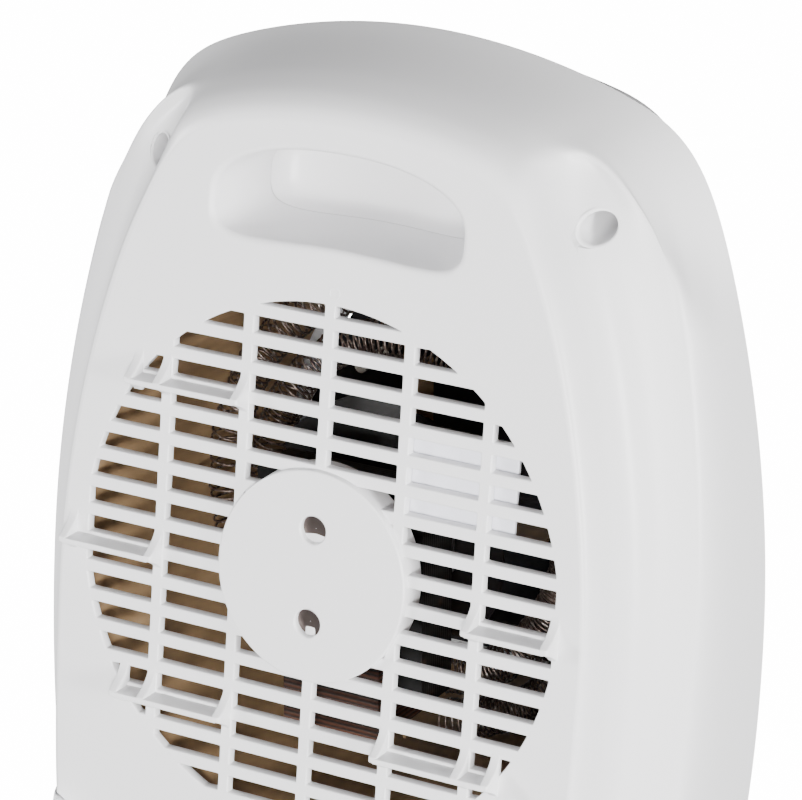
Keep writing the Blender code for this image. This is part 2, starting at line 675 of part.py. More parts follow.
def make_motor():
    stack_y = depth_y(STACK_START + STACK_DEPTH / 2)
    half_x, top, bottom = 0.0240, 0.0200, -0.0360
    leg, window = 0.0090, 0.0110
    name = "motor_stack"
    middle = AXIS_HEIGHT + (top + bottom) / 2
    obj = add_part(name, mesh_of(name, box((2 * half_x, STACK_DEPTH, top - bottom), (0, stack_y, middle))), "dark_steel")
    window_z = AXIS_HEIGHT + bottom + leg + window / 2
    cuts = [rod(ROTOR_RADIUS + GAP, stack_y - 0.02, stack_y + 0.02, z=AXIS_HEIGHT, sides=32)]
    cuts.append(box((2 * half_x - 0.0180, 0.04, window), (0, stack_y, window_z)))
    for x in (-1, 1):
        cuts.append(rod(0.0019, stack_y - 0.02, stack_y + 0.02, x=x * 0.0190, z=AXIS_HEIGHT, sides=16))
    combine(obj, add_cutter("stack_cuts", mesh_of("stack_cuts", *cuts)), "DIFFERENCE")

    leg_z = AXIS_HEIGHT + bottom + leg / 2
    coil_size = (2 * half_x - 0.0200, STACK_DEPTH + 0.0088, leg + 2 * (window - 0.0010))
    coil = add_part("motor_winding", mesh_of("motor_winding", box(coil_size, (0, stack_y, leg_z))), "winding")
    coil.data.set_sharp_from_angle(angle=radians(35))
    hole = box((0.06, STACK_DEPTH + 2 * GAP, leg + 2 * GAP), (0, stack_y, leg_z))
    combine(coil, add_cutter("winding_hole", mesh_of("winding_hole", hole)), "DIFFERENCE")

    for name, near, far in (
        ("motor_rear_bracket", HUB_DEPTH + GAP, STACK_START - GAP),
        ("motor_front_bracket", STACK_START + STACK_DEPTH + GAP, STACK_START + STACK_DEPTH + 0.0048),
    ):
        make_bracket(name, near, far)


def make_bracket(name, near, far):
    """Bearing bracket: a cross-strap on two feet, with a bearing at its middle and room for the rotor."""
    thick = 0.0012
    at_rear = name == "motor_rear_bracket"
    outer, inner = (near, far) if at_rear else (far, near)
    toward = thick if at_rear else -thick
    plate_y = depth_y(outer + toward / 2)
    strap = box((0.0440, thick, 0.0120), (0, plate_y, AXIS_HEIGHT))
    obj = add_part(name, mesh_of(name, strap), "dark_steel" if at_rear else "steel")
    adds = [box((0.0100, thick * 0.9, 0.0320), (0, plate_y, AXIS_HEIGHT))]
    for x in (-1, 1):
        foot_y = (depth_y(outer + toward * 0.4) + depth_y(inner)) / 2
        adds.append(box((0.0060, abs(inner - outer) - thick * 0.4, 0.0110), (x * 0.0189, foot_y, AXIS_HEIGHT)))
    bearing_end = outer + 2.2 * toward
    adds.append(rod(0.0050, depth_y(outer + toward * 0.3), depth_y(bearing_end), z=AXIS_HEIGHT, sides=24))
    for number, shape in enumerate(adds):
        combine(obj, add_cutter(f"{name}_{number}", mesh_of(f"{name}_{number}", shape)), "UNION")
    cuts = [rod(SHAFT_RADIUS + RUNNING, REAR_Y, PARTING_Y, z=AXIS_HEIGHT, sides=32)]
    if at_rear:
        cuts += [rod(SCREW_RADIUS + RUNNING, REAR_Y, PARTING_Y, z=z, sides=12) for z in motor_screw_heights()]
    combine(obj, add_cutter(f"{name}_cuts", mesh_of(f"{name}_cuts", *cuts)), "DIFFERENCE")


def blade_rings(turn):
    """A fan blade as sections from hub to tip: each is a thin bowed strip, steeper near the hub."""
    rings = []
    chord_steps = np.linspace(-0.5, 0.5, 4)
    for share in np.linspace(0, 1, 5):
        radius = FAN_HUB_RADIUS - 0.0015 + (FAN_RADIUS - FAN_HUB_RADIUS + 0.0015) * share
        pitch = radians(58 - 34 * share)
        spread = (0.0100 + 0.0330 * share**0.8) * np.cos(pitch * 0.35)
        tangent = chord_steps * spread * (1 - 0.12 * share**4)
        lift = chord_steps * min(FAN_DEPTH * 0.92, spread * np.tan(pitch)) + 0.0012 * share * (1 - 4 * chord_steps**2)
        thick = 0.0011 - 0.0003 * share
        angle = turn + tangent / radius
        upper = [(radius * sin(a), l + thick / 2, radius * cos(a)) for a, l in zip(angle, lift)]
        lower = [(radius * sin(a), l - thick / 2, radius * cos(a)) for a, l in zip(angle, lift)]
        rings.append(np.array(upper + lower[::-1]))
    return rings


def shaft_end():
    return FAN_START + FAN_DEPTH + 0.0035


def make_fan():
    centre = Vector((0, depth_y(FAN_START + FAN_DEPTH / 2), AXIS_HEIGHT))
    hub = rod(FAN_HUB_RADIUS, depth_y(FAN_START - 0.001), depth_y(FAN_START + FAN_DEPTH + 0.001), z=AXIS_HEIGHT)
    obj = add_part("fan_rotor", mesh_of("fan_rotor", hub), "fan_plastic")
    blades = []
    for number in range(BLADES):
        turn = FAN_REST + number * 2 * pi / BLADES
        blades.append(loft([ring + np.array(centre) for ring in blade_rings(turn)]))
    combine(obj, add_cutter("fan_blades", mesh_of("fan_blades", *blades)), "UNION")
    bore = rod(SHAFT_RADIUS + RUNNING, REAR_Y, PARTING_Y - 0.02, z=AXIS_HEIGHT)
    combine(obj, add_cutter("fan_bore", mesh_of("fan_bore", bore)), "DIFFERENCE")

    shaft = rod(SHAFT_RADIUS, depth_y(HUB_DEPTH - 0.0035), depth_y(shaft_end()), z=AXIS_HEIGHT)
    add_part("motor_shaft", mesh_of("motor_shaft", shaft), "steel")
    rotor_start = STACK_START - 0.0005
    rotor_end = STACK_START + STACK_DEPTH + 0.0005
    rotor_name = "motor_rotor_core"
    rotor = rod(ROTOR_RADIUS, depth_y(rotor_start), depth_y(rotor_end), z=AXIS_HEIGHT)
    core = add_part(rotor_name, mesh_of(rotor_name, rotor), "dark_steel")
    bore = rod(SHAFT_RADIUS + RUNNING, REAR_Y, PARTING_Y - 0.02, z=AXIS_HEIGHT)
    combine(core, add_cutter("rotor_bore", mesh_of("rotor_bore", bore)), "DIFFERENCE")
    clip = [(CLIP_RADIUS, 0.0007), (CLIP_RADIUS, -0.0007), (SHAFT_RADIUS + RUNNING, -0.0007), (SHAFT_RADIUS + RUNNING, 0.0007)]
    place = (0, depth_y(FAN_START + FAN_DEPTH + 0.0021), AXIS_HEIGHT)
    turned("fan_clip", clip, "steel", place, steps=24, axis="-Y", closed=True)


FAN_REST = radians(27)  # a blade stands up to one side at rest


# Duct and element


def duct_end():
    """Depth of the duct's front end, just behind the front grille."""
    return REAR_DEPTH + FRONT_DEPTH - DUCT_SETBACK


def sleeve(rear_radius, front_radius, wall, sides=40):
    """An open tapered tube whose rear end follows the leaning rear face."""
    t = np.arange(sides) * 2 * pi / sides
    rings = []
    for radius, at_rear in (
        (rear_radius, True), (front_radius, False), (front_radius - wall, False), (rear_radius - wall, True)
    ):
        up = radius * np.cos(t)
        y = face_y(up) - WALL - DUCT_START if at_rear else np.full(sides, depth_y(duct_end()))
        rings.append(np.stack([radius * np.sin(t), y, AXIS_HEIGHT + up], axis=1))

    def add(bm):
        rows = [[bm.verts.new(point) for point in ring] for ring in rings]
        for near, far in zip(rows, rows[1:] + rows[:1]):
            for i in range(sides):
                j = (i + 1) % sides
                bm.faces.new((near[i], near[j], far[j], far[i]))

    return add


def make_duct():
    duct = sleeve(DUCT_REAR_RADIUS, DUCT_FRONT_RADIUS, DUCT_WALL)
    add_part("air_duct", mesh_of("air_duct", duct), "steel")
    inset = DUCT_WALL + GAP
    liner = sleeve(DUCT_REAR_RADIUS - inset, DUCT_FRONT_RADIUS - inset, LINER_WALL)
    add_part("mica_liner", mesh_of("mica_liner", liner), "mica")


def duct_radius_at(depth):
    """Inner radius of the liner at a depth behind the rear face."""
    share = (depth - DUCT_START - WALL) / (duct_end() - DUCT_START - WALL)
    radius = DUCT_REAR_RADIUS + (DUCT_FRONT_RADIUS - DUCT_REAR_RADIUS) * share
    return radius - DUCT_WALL - GAP - LINER_WALL


def make_element():
    reach = duct_radius_at(MICA_END) - 0.0006
    depth = MICA_END - MICA_START
    centre_y = depth_y((MICA_START + MICA_END) / 2)
    notch_floor = COIL_DEPTH - COIL_TURN_RADIUS - WIRE_RADIUS - GAP
    notches_y = (depth_y(notch_floor) + depth_y(MICA_END + 0.01)) / 2
    notch_depth = MICA_END + 0.01 - notch_floor
    notch = 2 * (COIL_TURN_RADIUS + WIRE_RADIUS + 2 * GAP)
    lap = MICA_THICK + 2 * GAP
    for name, across in (("mica_board_flat", True), ("mica_board_upright", False)):
        size = (2 * reach, depth, MICA_THICK) if across else (MICA_THICK, depth, 2 * reach)
        obj = add_part(name, mesh_of(name, box(size, (0, centre_y, AXIS_HEIGHT))), "mica")
        cuts = []
        for radius, _ in COIL_RINGS.values():
            for side in (1, -1):
                width = (notch, notch_depth, 0.01) if across else (0.01, notch_depth, notch)
                shift = (side * radius, notches_y, AXIS_HEIGHT) if across else (0, notches_y, AXIS_HEIGHT + side * radius)
                cuts.append(box(width, shift))
        clearance = (2 * CLIP_RADIUS + 0.0030, 2 * (shaft_end() + 0.0010 - MICA_START), 2 * CLIP_RADIUS + 0.0030)
        room = box(clearance, (0, depth_y(MICA_START), AXIS_HEIGHT))
        combine(obj, add_cutter(f"{name}_room", mesh_of(f"{name}_room", room)), "DIFFERENCE")
        half = depth / 2 - GAP / 2
        middle_y = centre_y + (half if across else -half)
        cuts.append(box((lap, depth, lap) if across else (lap, depth, lap), (0, middle_y, AXIS_HEIGHT)))
        combine(obj, add_cutter(f"{name}_cuts", mesh_of(f"{name}_cuts", *cuts)), "DIFFERENCE")
    for name, (radius, turns) in COIL_RINGS.items():
        wire(name, coil_points(radius, turns), WIRE_RADIUS, "coil_wire", resolution=0)


def coil_points(radius, turns, per_turn=4):
    """A helix laid round a ring, open by a small gap at the bottom for its ends."""
    gap = 0.05
    share = np.linspace(0, 1, turns * per_turn + 1)
    around = pi + 2 * pi * (gap / 2 + (1 - gap) * share)
    turn = 2 * pi * turns * share
    out = radius + COIL_TURN_RADIUS * np.cos(turn)
    depth = depth_y(COIL_DEPTH) + COIL_TURN_RADIUS * np.sin(turn)
    return np.stack([out * np.sin(around), depth, AXIS_HEIGHT + out * np.cos(around)], axis=1)


# Controls and wiring


def make_controls():
    panel = FRONT_Y + WALL + GAP
    body_depth = 0.0180
    for name, x, slot in (("function_switch", CONTROL_X, "black_plastic"), ("thermostat", -CONTROL_X, "ceramic")):
        size = (0.0250, body_depth, 0.0220)
        centre = (x, panel + body_depth / 2, CONTROL_Z)
        obj = add_part(f"{name}_body", mesh_of(f"{name}_body", box(size, centre)), slot)
        bore = rod(KNOB_SHAFT + GAP, panel - 0.01, panel + 0.0100, x=x, z=CONTROL_Z, sides=24)
        combine(obj, add_cutter(f"{name}_bore", mesh_of(f"{name}_bore", bore)), "DIFFERENCE")
        shaft_name = f"{name}_shaft"
        shaft = rod(KNOB_SHAFT, panel + 0.0090, FRONT_Y - KNOB_REACH + 0.0040, x=x, z=CONTROL_Z, sides=24)
        add_part(shaft_name, mesh_of(shaft_name, shaft), "brass")
        make_knob(f"{name}_knob", x)
    lens = [(0, 0.0022), (LENS_RADIUS * 0.7, 0.0019), (LENS_RADIUS, 0.0009), (LENS_RADIUS, -WALL - 0.001), (0, -WALL - 0.001)]
    turned("indicator_lens", lens, "lens", (0, FRONT_Y, CONTROL_Z), steps=24, axis="-Y")
    lamp = rod(0.0028, FRONT_Y + WALL + 0.001 + GAP, FRONT_Y + 0.0140, z=CONTROL_Z, sides=20)
    add_part("neon_lamp", mesh_of("neon_lamp", lamp), "ceramic")


def make_knob(name, x):
    """Round knob with a gripping bar across its face and a blind bore for its shaft."""
    skirt = 0.0045
    tip = FRONT_Y - KNOB_REACH
    base = FRONT_Y - 0.0008
    body = rod(KNOB_RADIUS, base, base - skirt, x=x, z=CONTROL_Z, sides=28, end_radius=KNOB_RADIUS - 0.0008)
    obj = add_part(name, mesh_of(name, body), "white_plastic")
    bar = loft([
        np.array([(x + a, y, CONTROL_Z + b) for a, b in ((-w, -h), (w, -h), (w, h), (-w, h))])
        for y, w, h in ((base - skirt * 0.5, 0.0040, 0.0112), (tip + 0.001, 0.0028, 0.0104), (tip, 0.0020, 0.0096))
    ])
    combine(obj, add_cutter(f"{name}_bar", mesh_of(f"{name}_bar", bar)), "UNION")
    bore = rod(KNOB_SHAFT + GAP, FRONT_Y + 0.01, tip + 0.0040 - GAP, x=x, z=CONTROL_Z, sides=24)
    combine(obj, add_cutter(f"{name}_bore", mesh_of(f"{name}_bore", bore)), "DIFFERENCE")
    relief = rod(KNOB_RADIUS - 0.0022, FRONT_Y + 0.01, base - skirt + 0.0018, x=x, z=CONTROL_Z, sides=28)
    relief_cut = add_cutter(f"{name}_relief", mesh_of(f"{name}_relief", relief))
    boss = rod(KNOB_SHAFT + 0.0022, FRONT_Y + 0.02, tip, x=x, z=CONTROL_Z, sides=24)
    combine(relief_cut, add_cutter(f"{name}_boss", mesh_of(f"{name}_boss", boss)), "DIFFERENCE")
    combine(obj, relief_cut, "DIFFERENCE")


def make_safety_and_wiring():
    cutout_x, cutout_z = -0.0250, AXIS_HEIGHT + 0.0330
    cutout_y = depth_y(MICA_END + 0.0060)
    profile = [(0, 0.0022), (0.0050, 0.0022), (0.0060, 0.0014), (0.0078, 0.0010), (0.0078, -0.0030), (0, -0.0030)]
    turned("thermal_cutout", profile, "black_plastic", (cutout_x, cutout_y, cutout_z), steps=24, axis="+Y")
    fuse = rod(0.0018, depth_y(MICA_END + 0.0180), depth_y(MICA_END + 0.0060), x=0.0250, z=AXIS_HEIGHT + 0.0300, sides=16)
    add_part("thermal_fuse", mesh_of("thermal_fuse", fuse), "ceramic")

    block = box((0.0300, 0.0120, 0.0160), (0.0250, PARTING_Y + 0.0120, AXIS_HEIGHT - 0.0930))
    obj = add_part("terminal_block", mesh_of("terminal_block", block), "ceramic")
    holes = [rod(0.0020, PARTING_Y - 0.05, PARTING_Y + 0.0150, x=0.0250 + shift, z=AXIS_HEIGHT - 0.0930, sides=16)
             for shift in (-0.0090, 0, 0.0090)]
    combine(obj, add_cutter("terminal_holes", mesh_of("terminal_holes", *holes)), "DIFFERENCE")

    # Gland in the rear wall for the supply cord, square to the wall's mould direction
    wall_y = face_y(CORD_Z - AXIS_HEIGHT)
    bore, sleeve_radius, flange = 0.0038, CORD_HOLE - GAP, CORD_HOLE + 0.0020
    under = (CORD_HOLE + 0.0020) * tan(LEAN) + GAP  # the flange clears the leaning face
    gland = [
        (bore + 0.0006, GLAND_PROUD), (flange - 0.0006, GLAND_PROUD), (flange, GLAND_PROUD - 0.0006), (flange, under),
        (sleeve_radius, under), (sleeve_radius, -0.0077), (bore, -0.0077), (bore, GLAND_PROUD - 0.0008),
    ]
    turned("cord_gland", gland, "rubber", (CORD_X, wall_y, CORD_Z), steps=16, axis="+Y", closed=True)

    clamp_y = wall_y - 0.0200
    clamp = box((0.0160, 0.0080, 0.0030), (CORD_X, clamp_y, CORD_Z + 0.0055))
    add_part("cord_clamp", mesh_of("cord_clamp", clamp), "black_plastic")

    lead_radius = 0.0011
    rear_of_block = PARTING_Y + 0.0120 - 0.0060 - GAP - 0.0001
    low, edge = AXIS_HEIGHT - 0.0930, 0.0810
    routes = {
        "lead_live": ("lead_brown", [
            (0.0340, rear_of_block, low), (0.0400, rear_of_block - 0.006, low + 0.004), (0.0620, PARTING_Y - 0.004, low + 0.020),
            (edge, PARTING_Y - 0.001, AXIS_HEIGHT - 0.030), (edge, PARTING_Y - 0.001, AXIS_HEIGHT + 0.020),
            (0.0700, PARTING_Y - 0.002, AXIS_HEIGHT + 0.055), (0.0560, PARTING_Y - 0.008, CONTROL_Z - 0.006),
            (CONTROL_X + 0.0160, FRONT_Y + 0.0260, CONTROL_Z), (CONTROL_X + 0.0080, FRONT_Y + 0.0245, CONTROL_Z),
            (CONTROL_X + 0.0050, FRONT_Y + WALL + GAP + 0.0180 + 0.0008, CONTROL_Z),
        ]),
        "lead_neutral": ("lead_blue", [
            (0.0160, rear_of_block, low), (0.0100, rear_of_block - 0.006, low - 0.002), (-0.0200, PARTING_Y - 0.006, low - 0.004),
            (-0.0600, PARTING_Y - 0.004, low + 0.022), (-edge, PARTING_Y - 0.001, AXIS_HEIGHT - 0.030),
            (-edge, PARTING_Y - 0.001, AXIS_HEIGHT + 0.020), (-0.0700, PARTING_Y - 0.002, AXIS_HEIGHT + 0.055),
            (-0.0560, PARTING_Y - 0.008, CONTROL_Z - 0.006), (-CONTROL_X - 0.0160, FRONT_Y + 0.0260, CONTROL_Z),
            (-CONTROL_X - 0.0080, FRONT_Y + 0.0245, CONTROL_Z),
            (-CONTROL_X - 0.0050, FRONT_Y + WALL + GAP + 0.0180 + 0.0008, CONTROL_Z),
        ]),
    }
    for name, (slot, points) in routes.items():
        wire(name, smooth_route(points), lead_radius, slot, resolution=0)


def smooth_route(points, per_span=4):
    """Points on a Catmull-Rom curve through the given ones."""
    knots = [np.array(point) for point in (points[0], *points, points[-1])]
    route = []
    for a, b, c, d in zip(knots, knots[1:], knots[2:], knots[3:]):
        for step in range(per_span):
            t = step / per_span
            route.append(0.5 * (2 * b + (c - a) * t + (2 * a - 5 * b + 4 * c - d) * t**2 + (3 * b - a - 3 * c + d) * t**3))
    route.append(knots[-1])
    return route


def main():
    start_scene()
    make_rear_shell()
    make_front_shell()
    make_front_grille()
    make_grip_cup()
    make_shield_plate()
    make_base()
    make_screws()
    make_motor()
    make_fan()
    make_duct()
    make_element()
    make_controls()
    make_safety_and_wiring()


main()
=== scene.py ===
import json
from math import cos, pi, radians, sin, tan

import bpy
import numpy as np
from mathutils import Matrix, Vector


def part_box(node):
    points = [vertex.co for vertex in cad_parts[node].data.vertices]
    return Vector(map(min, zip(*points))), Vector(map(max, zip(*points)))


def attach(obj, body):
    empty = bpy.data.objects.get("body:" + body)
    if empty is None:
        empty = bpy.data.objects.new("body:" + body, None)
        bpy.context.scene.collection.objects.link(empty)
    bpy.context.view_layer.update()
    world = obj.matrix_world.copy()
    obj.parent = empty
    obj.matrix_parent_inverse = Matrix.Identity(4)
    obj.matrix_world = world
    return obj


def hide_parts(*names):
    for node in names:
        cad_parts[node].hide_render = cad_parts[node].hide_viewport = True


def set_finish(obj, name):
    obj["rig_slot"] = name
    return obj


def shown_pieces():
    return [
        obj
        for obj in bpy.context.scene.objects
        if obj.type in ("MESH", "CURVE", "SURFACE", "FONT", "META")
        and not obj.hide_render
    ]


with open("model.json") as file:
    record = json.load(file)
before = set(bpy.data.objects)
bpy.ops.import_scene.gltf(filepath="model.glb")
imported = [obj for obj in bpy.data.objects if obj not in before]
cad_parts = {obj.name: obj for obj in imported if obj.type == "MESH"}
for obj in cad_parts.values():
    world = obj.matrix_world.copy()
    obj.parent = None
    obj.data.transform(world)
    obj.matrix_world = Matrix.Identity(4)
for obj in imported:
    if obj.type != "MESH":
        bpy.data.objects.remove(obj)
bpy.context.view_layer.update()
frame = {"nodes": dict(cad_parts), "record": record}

# Sizes shared by the pieces, in metres. Heights are above the fan axis unless a name says otherwise.
heater = dict(
    pitch=0.0075, axisHeight=0.1245, wall=0.0024, gap=0.0003, lean=radians(7.0),
    rearDepth=0.0562, frontDepth=0.0412, grilleRadius=0.0684, barPitch=0.0229875,
)
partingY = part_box("front_shell")[1].y + heater["gap"]
rearY = partingY + heater["rearDepth"]
frontY = partingY - heater["frontDepth"]
axisZ = heater["axisHeight"]


def faceY(height):  # the rear face leans forward towards its top
    return rearY - height * tan(heater["lean"])


def newObject(name, verts, faces, slot, body="housing", sharp=35):
    mesh = bpy.data.meshes.new(name)
    mesh.from_pydata(np.asarray(verts, float).reshape(-1, 3), [], faces)
    return finishMesh(name, mesh, slot, body, sharp)


def finishMesh(name, mesh, slot, body="housing", sharp=35):
    mesh.validate()
    mesh.shade_smooth()
    mesh.set_sharp_from_angle(angle=radians(sharp))
    piece = bpy.data.objects.new(name, mesh)
    bpy.context.scene.collection.objects.link(piece)
    if body:
        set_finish(piece, slot)
        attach(piece, body)
    return piece


def gridFaces(rows, columns, aroundRows=False, start=0):
    # Quads of a grid: each point joined to the next in its row and to the same two in the row after.
    row = np.arange(rows if aroundRows else rows - 1)[:, None]
    column = np.arange(columns)[None, :]
    after, beside = (row + 1) % rows, (column + 1) % columns
    corners = [row * columns + column, row * columns + beside]
    corners += [after * columns + beside, after * columns + column]
    return (np.stack(np.broadcast_arrays(*corners), axis=-1).reshape(-1, 4) + start).tolist()


def loftSolid(rings, start=0):
    # (verts, faces) of a closed skin through rings of points, shut by a flat face at each end. The faces
    # count their points from start.
    rings = np.asarray(rings, float)
    rows, columns = rings.shape[:2]
    last = start + (rows - 1) * columns
    faces = gridFaces(rows, columns, start=start)
    faces += [list(range(start, start + columns))[::-1], list(range(last, last + columns))]
    return rings.reshape(-1, 3), faces


def splineRows(rows, steps):
    # More rows through the given ones: each stretch is a Catmull-Rom curve of its two rows and their
    # neighbours.
    rows = np.asarray(rows, float)
    count = len(rows)
    place = np.linspace(0, count - 1, (count - 1) * steps + 1)
    start = np.minimum(place.astype(int), count - 2)
    t = (place - start).reshape(-1, *[1] * (rows.ndim - 1))
    a, b = rows[np.maximum(start - 1, 0)], rows[start]
    c, d = rows[start + 1], rows[np.minimum(start + 2, count - 1)]
    return 0.5 * (2 * b + (c - a) * t + (2 * a - 5 * b + 4 * c - d) * t**2 + (3 * b - a - 3 * c + d) * t**3)


def superellipse(angle, power):
    # Sideways and upward share of a rounded box: cosine and sine, each raised to the power, sign kept.
    across, up = np.cos(angle), np.sin(angle)
    return np.sign(across) * np.abs(across) ** power, np.sign(up) * np.abs(up) ** power


def readValues(items, name, width, kind=float):
    values = np.empty(len(items) * width, kind)
    items.foreach_get(name, values)
    return values.reshape(-1, width)


def turnedRings(profile, centre, sides=64, axis="Y"):
    # Rings of a turned shape: each (radius, height) of the profile carried round the axis.
    profile = np.asarray(profile, float)
    t = np.arange(sides) * 2 * pi / sides
    radius, height = profile[:, 0:1], profile[:, 1:2] + 0 * t
    if axis == "Y":
        points = np.stack([radius * np.sin(t), height, radius * np.cos(t)], axis=-1)
    else:
        points = np.stack([radius * np.cos(t), radius * np.sin(t), height], axis=-1)
    return points + np.array(centre)


def roundedProfile(corners, radius, steps=5):
    # A profile line whose inner corners are rounded: each corner gives way to a curve of its two sides.
    corners = [np.array(corner, float) for corner in corners]
    line = [corners[0]]
    for before, corner, after in zip(corners, corners[1:], corners[2:]):
        first, second = before - corner, after - corner
        reach = min(radius, np.linalg.norm(first) * 0.45, np.linalg.norm(second) * 0.45)
        start = corner + first / np.linalg.norm(first) * reach
        end = corner + second / np.linalg.norm(second) * reach
        t = np.linspace(0, 1, steps + 1)[:, None]
        line += list((1 - t) ** 2 * start + 2 * t * (1 - t) * corner + t**2 * end)
    return np.array(line + [corners[-1]])


def turnedPiece(name, corners, radius, centre, slot, body="housing", sides=64, axis="Y"):
    # A turned solid whose profile runs from its axis out, along its side, and back to its axis.
    profile = roundedProfile(corners, radius)
    profile[:, 0] = np.maximum(profile[:, 0], 1e-5)
    verts, faces = loftSolid(turnedRings(profile, centre, sides, axis))
    piece = newObject(name, verts, faces, slot, body)
    faceOutward(piece)
    return piece


def faceOutward(piece):
    # Turns a closed mesh's faces outwards, where its volume comes out negative.
    mesh = piece.data
    mesh.calc_loop_triangles()
    points = readValues(mesh.vertices, "co", 3)
    corners = readValues(mesh.loop_triangles, "vertices", 3, int)
    a, b, c = points[corners].transpose(1, 0, 2)
    if np.sum(a * np.cross(b, c)) < 0:
        mesh.flip_normals()


def plate(name, outlines, thickness, bevel, slot, place, body="housing", steps=2):
    # A flat plate with holes and rounded edges: closed outlines, filled, given a thickness and a round edge.
    curve = bpy.data.curves.new(name, "CURVE")
    curve.dimensions = "2D"
    curve.fill_mode = "BOTH"
    curve.extrude = thickness / 2 - bevel
    curve.bevel_depth = bevel
    curve.bevel_resolution = steps
    curve.offset = -bevel
    for outline in outlines:
        spline = curve.splines.new("POLY")
        spline.points.add(len(outline) - 1)
        flat = np.concatenate([outline, np.zeros((len(outline), 1)), np.ones((len(outline), 1))], axis=1)
        spline.points.foreach_set("co", flat.reshape(-1))
        spline.use_cyclic_u = True
    holder = bpy.data.objects.new(name, curve)
    bpy.context.scene.collection.objects.link(holder)
    bpy.context.view_layer.update()
    mesh = bpy.data.meshes.new_from_object(holder.evaluated_get(bpy.context.evaluated_depsgraph_get()))
    bpy.data.objects.remove(holder)
    mesh.name = name
    mesh.transform(place)
    if place.determinant() < 0:
        mesh.flip_normals()
    return finishMesh(name, mesh, slot, body)


def onRear(depth=0.0):
    # Place of a plate on the rear face: its X to the left from behind, its Y up the face, its Z outwards.
    lean = -tan(heater["lean"])
    return Matrix(((-1, 0, 0, 0), (0, lean, 1, rearY - depth), (0, 1, 0, axisZ), (0, 0, 0, 1)))


def onFront(depth=0.0):
    return Matrix(((1, 0, 0, 0), (0, 0, -1, frontY + depth), (0, 1, 0, axisZ), (0, 0, 0, 1)))


def circle(radius, sides=128, x=0.0, y=0.0):
    t = np.arange(sides) * 2 * pi / sides
    return np.stack([x + radius * np.cos(t), y + radius * np.sin(t)], axis=1)


def joined(piece, others, operation="DIFFERENCE"):
    # The piece with others cut from it or joined to it, and the others removed.
    for other in others:
        modifier = piece.modifiers.new("shape", "BOOLEAN")
        modifier.operation, modifier.object, modifier.solver = operation, other, "MANIFOLD"
    bpy.context.view_layer.update()
    mesh = bpy.data.meshes.new_from_object(piece.evaluated_get(bpy.context.evaluated_depsgraph_get()))
    piece.modifiers.clear()
    piece.data = mesh
    for other in others:
        bpy.data.objects.remove(other)
    mesh.shade_smooth()
    mesh.set_sharp_from_angle(angle=radians(30))
    even = piece.modifiers.new("even shading", "WEIGHTED_NORMAL")
    even.keep_sharp = True
    return piece


def tool(verts, faces):
    # A closed shape used only to cut others.
    piece = newObject("tool", verts, faces, None, None)
    faceOutward(piece)
    return piece


def rodTool(radius, start, end, x=0.0, z=axisZ, sides=96):
    return tool(*loftSolid(turnedRings([(radius, start), (radius, end)], (x, 0, z), sides)))


# Barrel outlines round the fan axis: widest half-width and its height, the bow radii of the sides above and
# below it, the top and bottom, the radius of the arched top, and the power that rounds the corners
rim = dict(wide=0.0975, at=-0.012, bowUp=0.34, bowDown=0.48, top=0.1275, bottom=0.1125, arch=0.161, power=16)
flatFace = dict(
    wide=0.0761, at=-0.015, bowUp=0.27, bowDown=0.90, top=0.1118, bottom=0.1045, arch=0.161, power=10,
)
nose = dict(wide=0.0668, at=-0.012, bowUp=0.34, bowDown=0.48, top=0.1065, bottom=0.1030, arch=0.161, power=12)

rearShell = dict(
    sides=384, steps=6,
    # share of the way in from the rim, and depth behind the face; the first three are shares below the ridge
    side=[(0.00, 1.00), (0.02, 0.50), (0.06, 0.18), (0.13, 0.0255), (0.24, 0.0233), (0.42, 0.0206),
          (0.60, 0.0180), (0.74, 0.0150), (0.84, 0.0100), (0.90, 0.0056), (0.95, 0.0024), (1.00, 0.0005),
          (1.06, 0.0)],
    shoulder=[(0.00, 1.00), (0.10, 0.86), (0.20, 0.70), (0.30, 0.53), (0.40, 0.37), (0.50, 0.24),
              (0.58, 0.155), (0.66, 0.095), (0.74, 0.052), (0.82, 0.025), (0.90, 0.009), (0.97, 0.001),
              (1.06, 0.0)],
    ridgeRing=3, channelTop=0.1170, channelTopX=0.0540, channelTopDrop=36.0, channelBottom=-0.1020,
    channelFade=0.0110, channelSideX=0.0460, channelSideFade=0.0120,
)
frontShell = dict(
    sides=384, steps=6,
    rings=[(0.03, 0.00), (0.08, 0.06), (0.22, 0.24), (0.37, 0.42), (0.52, 0.60), (0.66, 0.76), (0.78, 0.88),
           (0.89, 0.965), (1.00, 1.0), (1.05, 1.0)],
)
posts = dict(
    # sideways and above the fan axis
    places=[(0.0625, 0.0929), (-0.0625, 0.0929), (0.0740, -0.0790), (-0.0740, -0.0790)],
    bore=0.0038, floor=0.0030, mouth=0.0007, cut=0.0006, screw=0.0022, sides=48,
)
gland = dict(
    x=-0.0450, z=0.0260, bore=0.0038, sleeve=0.0052, cut=0.0055, flange=0.0075, proud=0.0028, reach=0.0077,
)


def outlineRadius(angle, wide, at, bowUp, bowDown, top, bottom, arch, power):
    # Distance from the fan axis to a barrel outline: bowed sides and an arched top joined by a superellipse,
    # found by halving the distance again and again.
    low, high = np.zeros_like(angle), np.full_like(angle, 0.25)
    for _ in range(40):
        middle = (low + high) / 2
        x, height = middle * np.sin(angle), middle * np.cos(angle)
        side = np.maximum(wide - (height - at) ** 2 / (2 * np.where(height > at, bowUp, bowDown)), 0.01)
        end = np.where(height > 0, np.maximum(top - x**2 / (2 * arch), 0.01), bottom)
        inside = np.abs(x / side) ** power + np.abs(height / end) ** power < 1
        low, high = np.where(inside, middle, low), np.where(inside, high, middle)
    return low


def smoothStep(value):
    t = np.clip(value, 0, 1)
    return t * t * (3 - 2 * t)


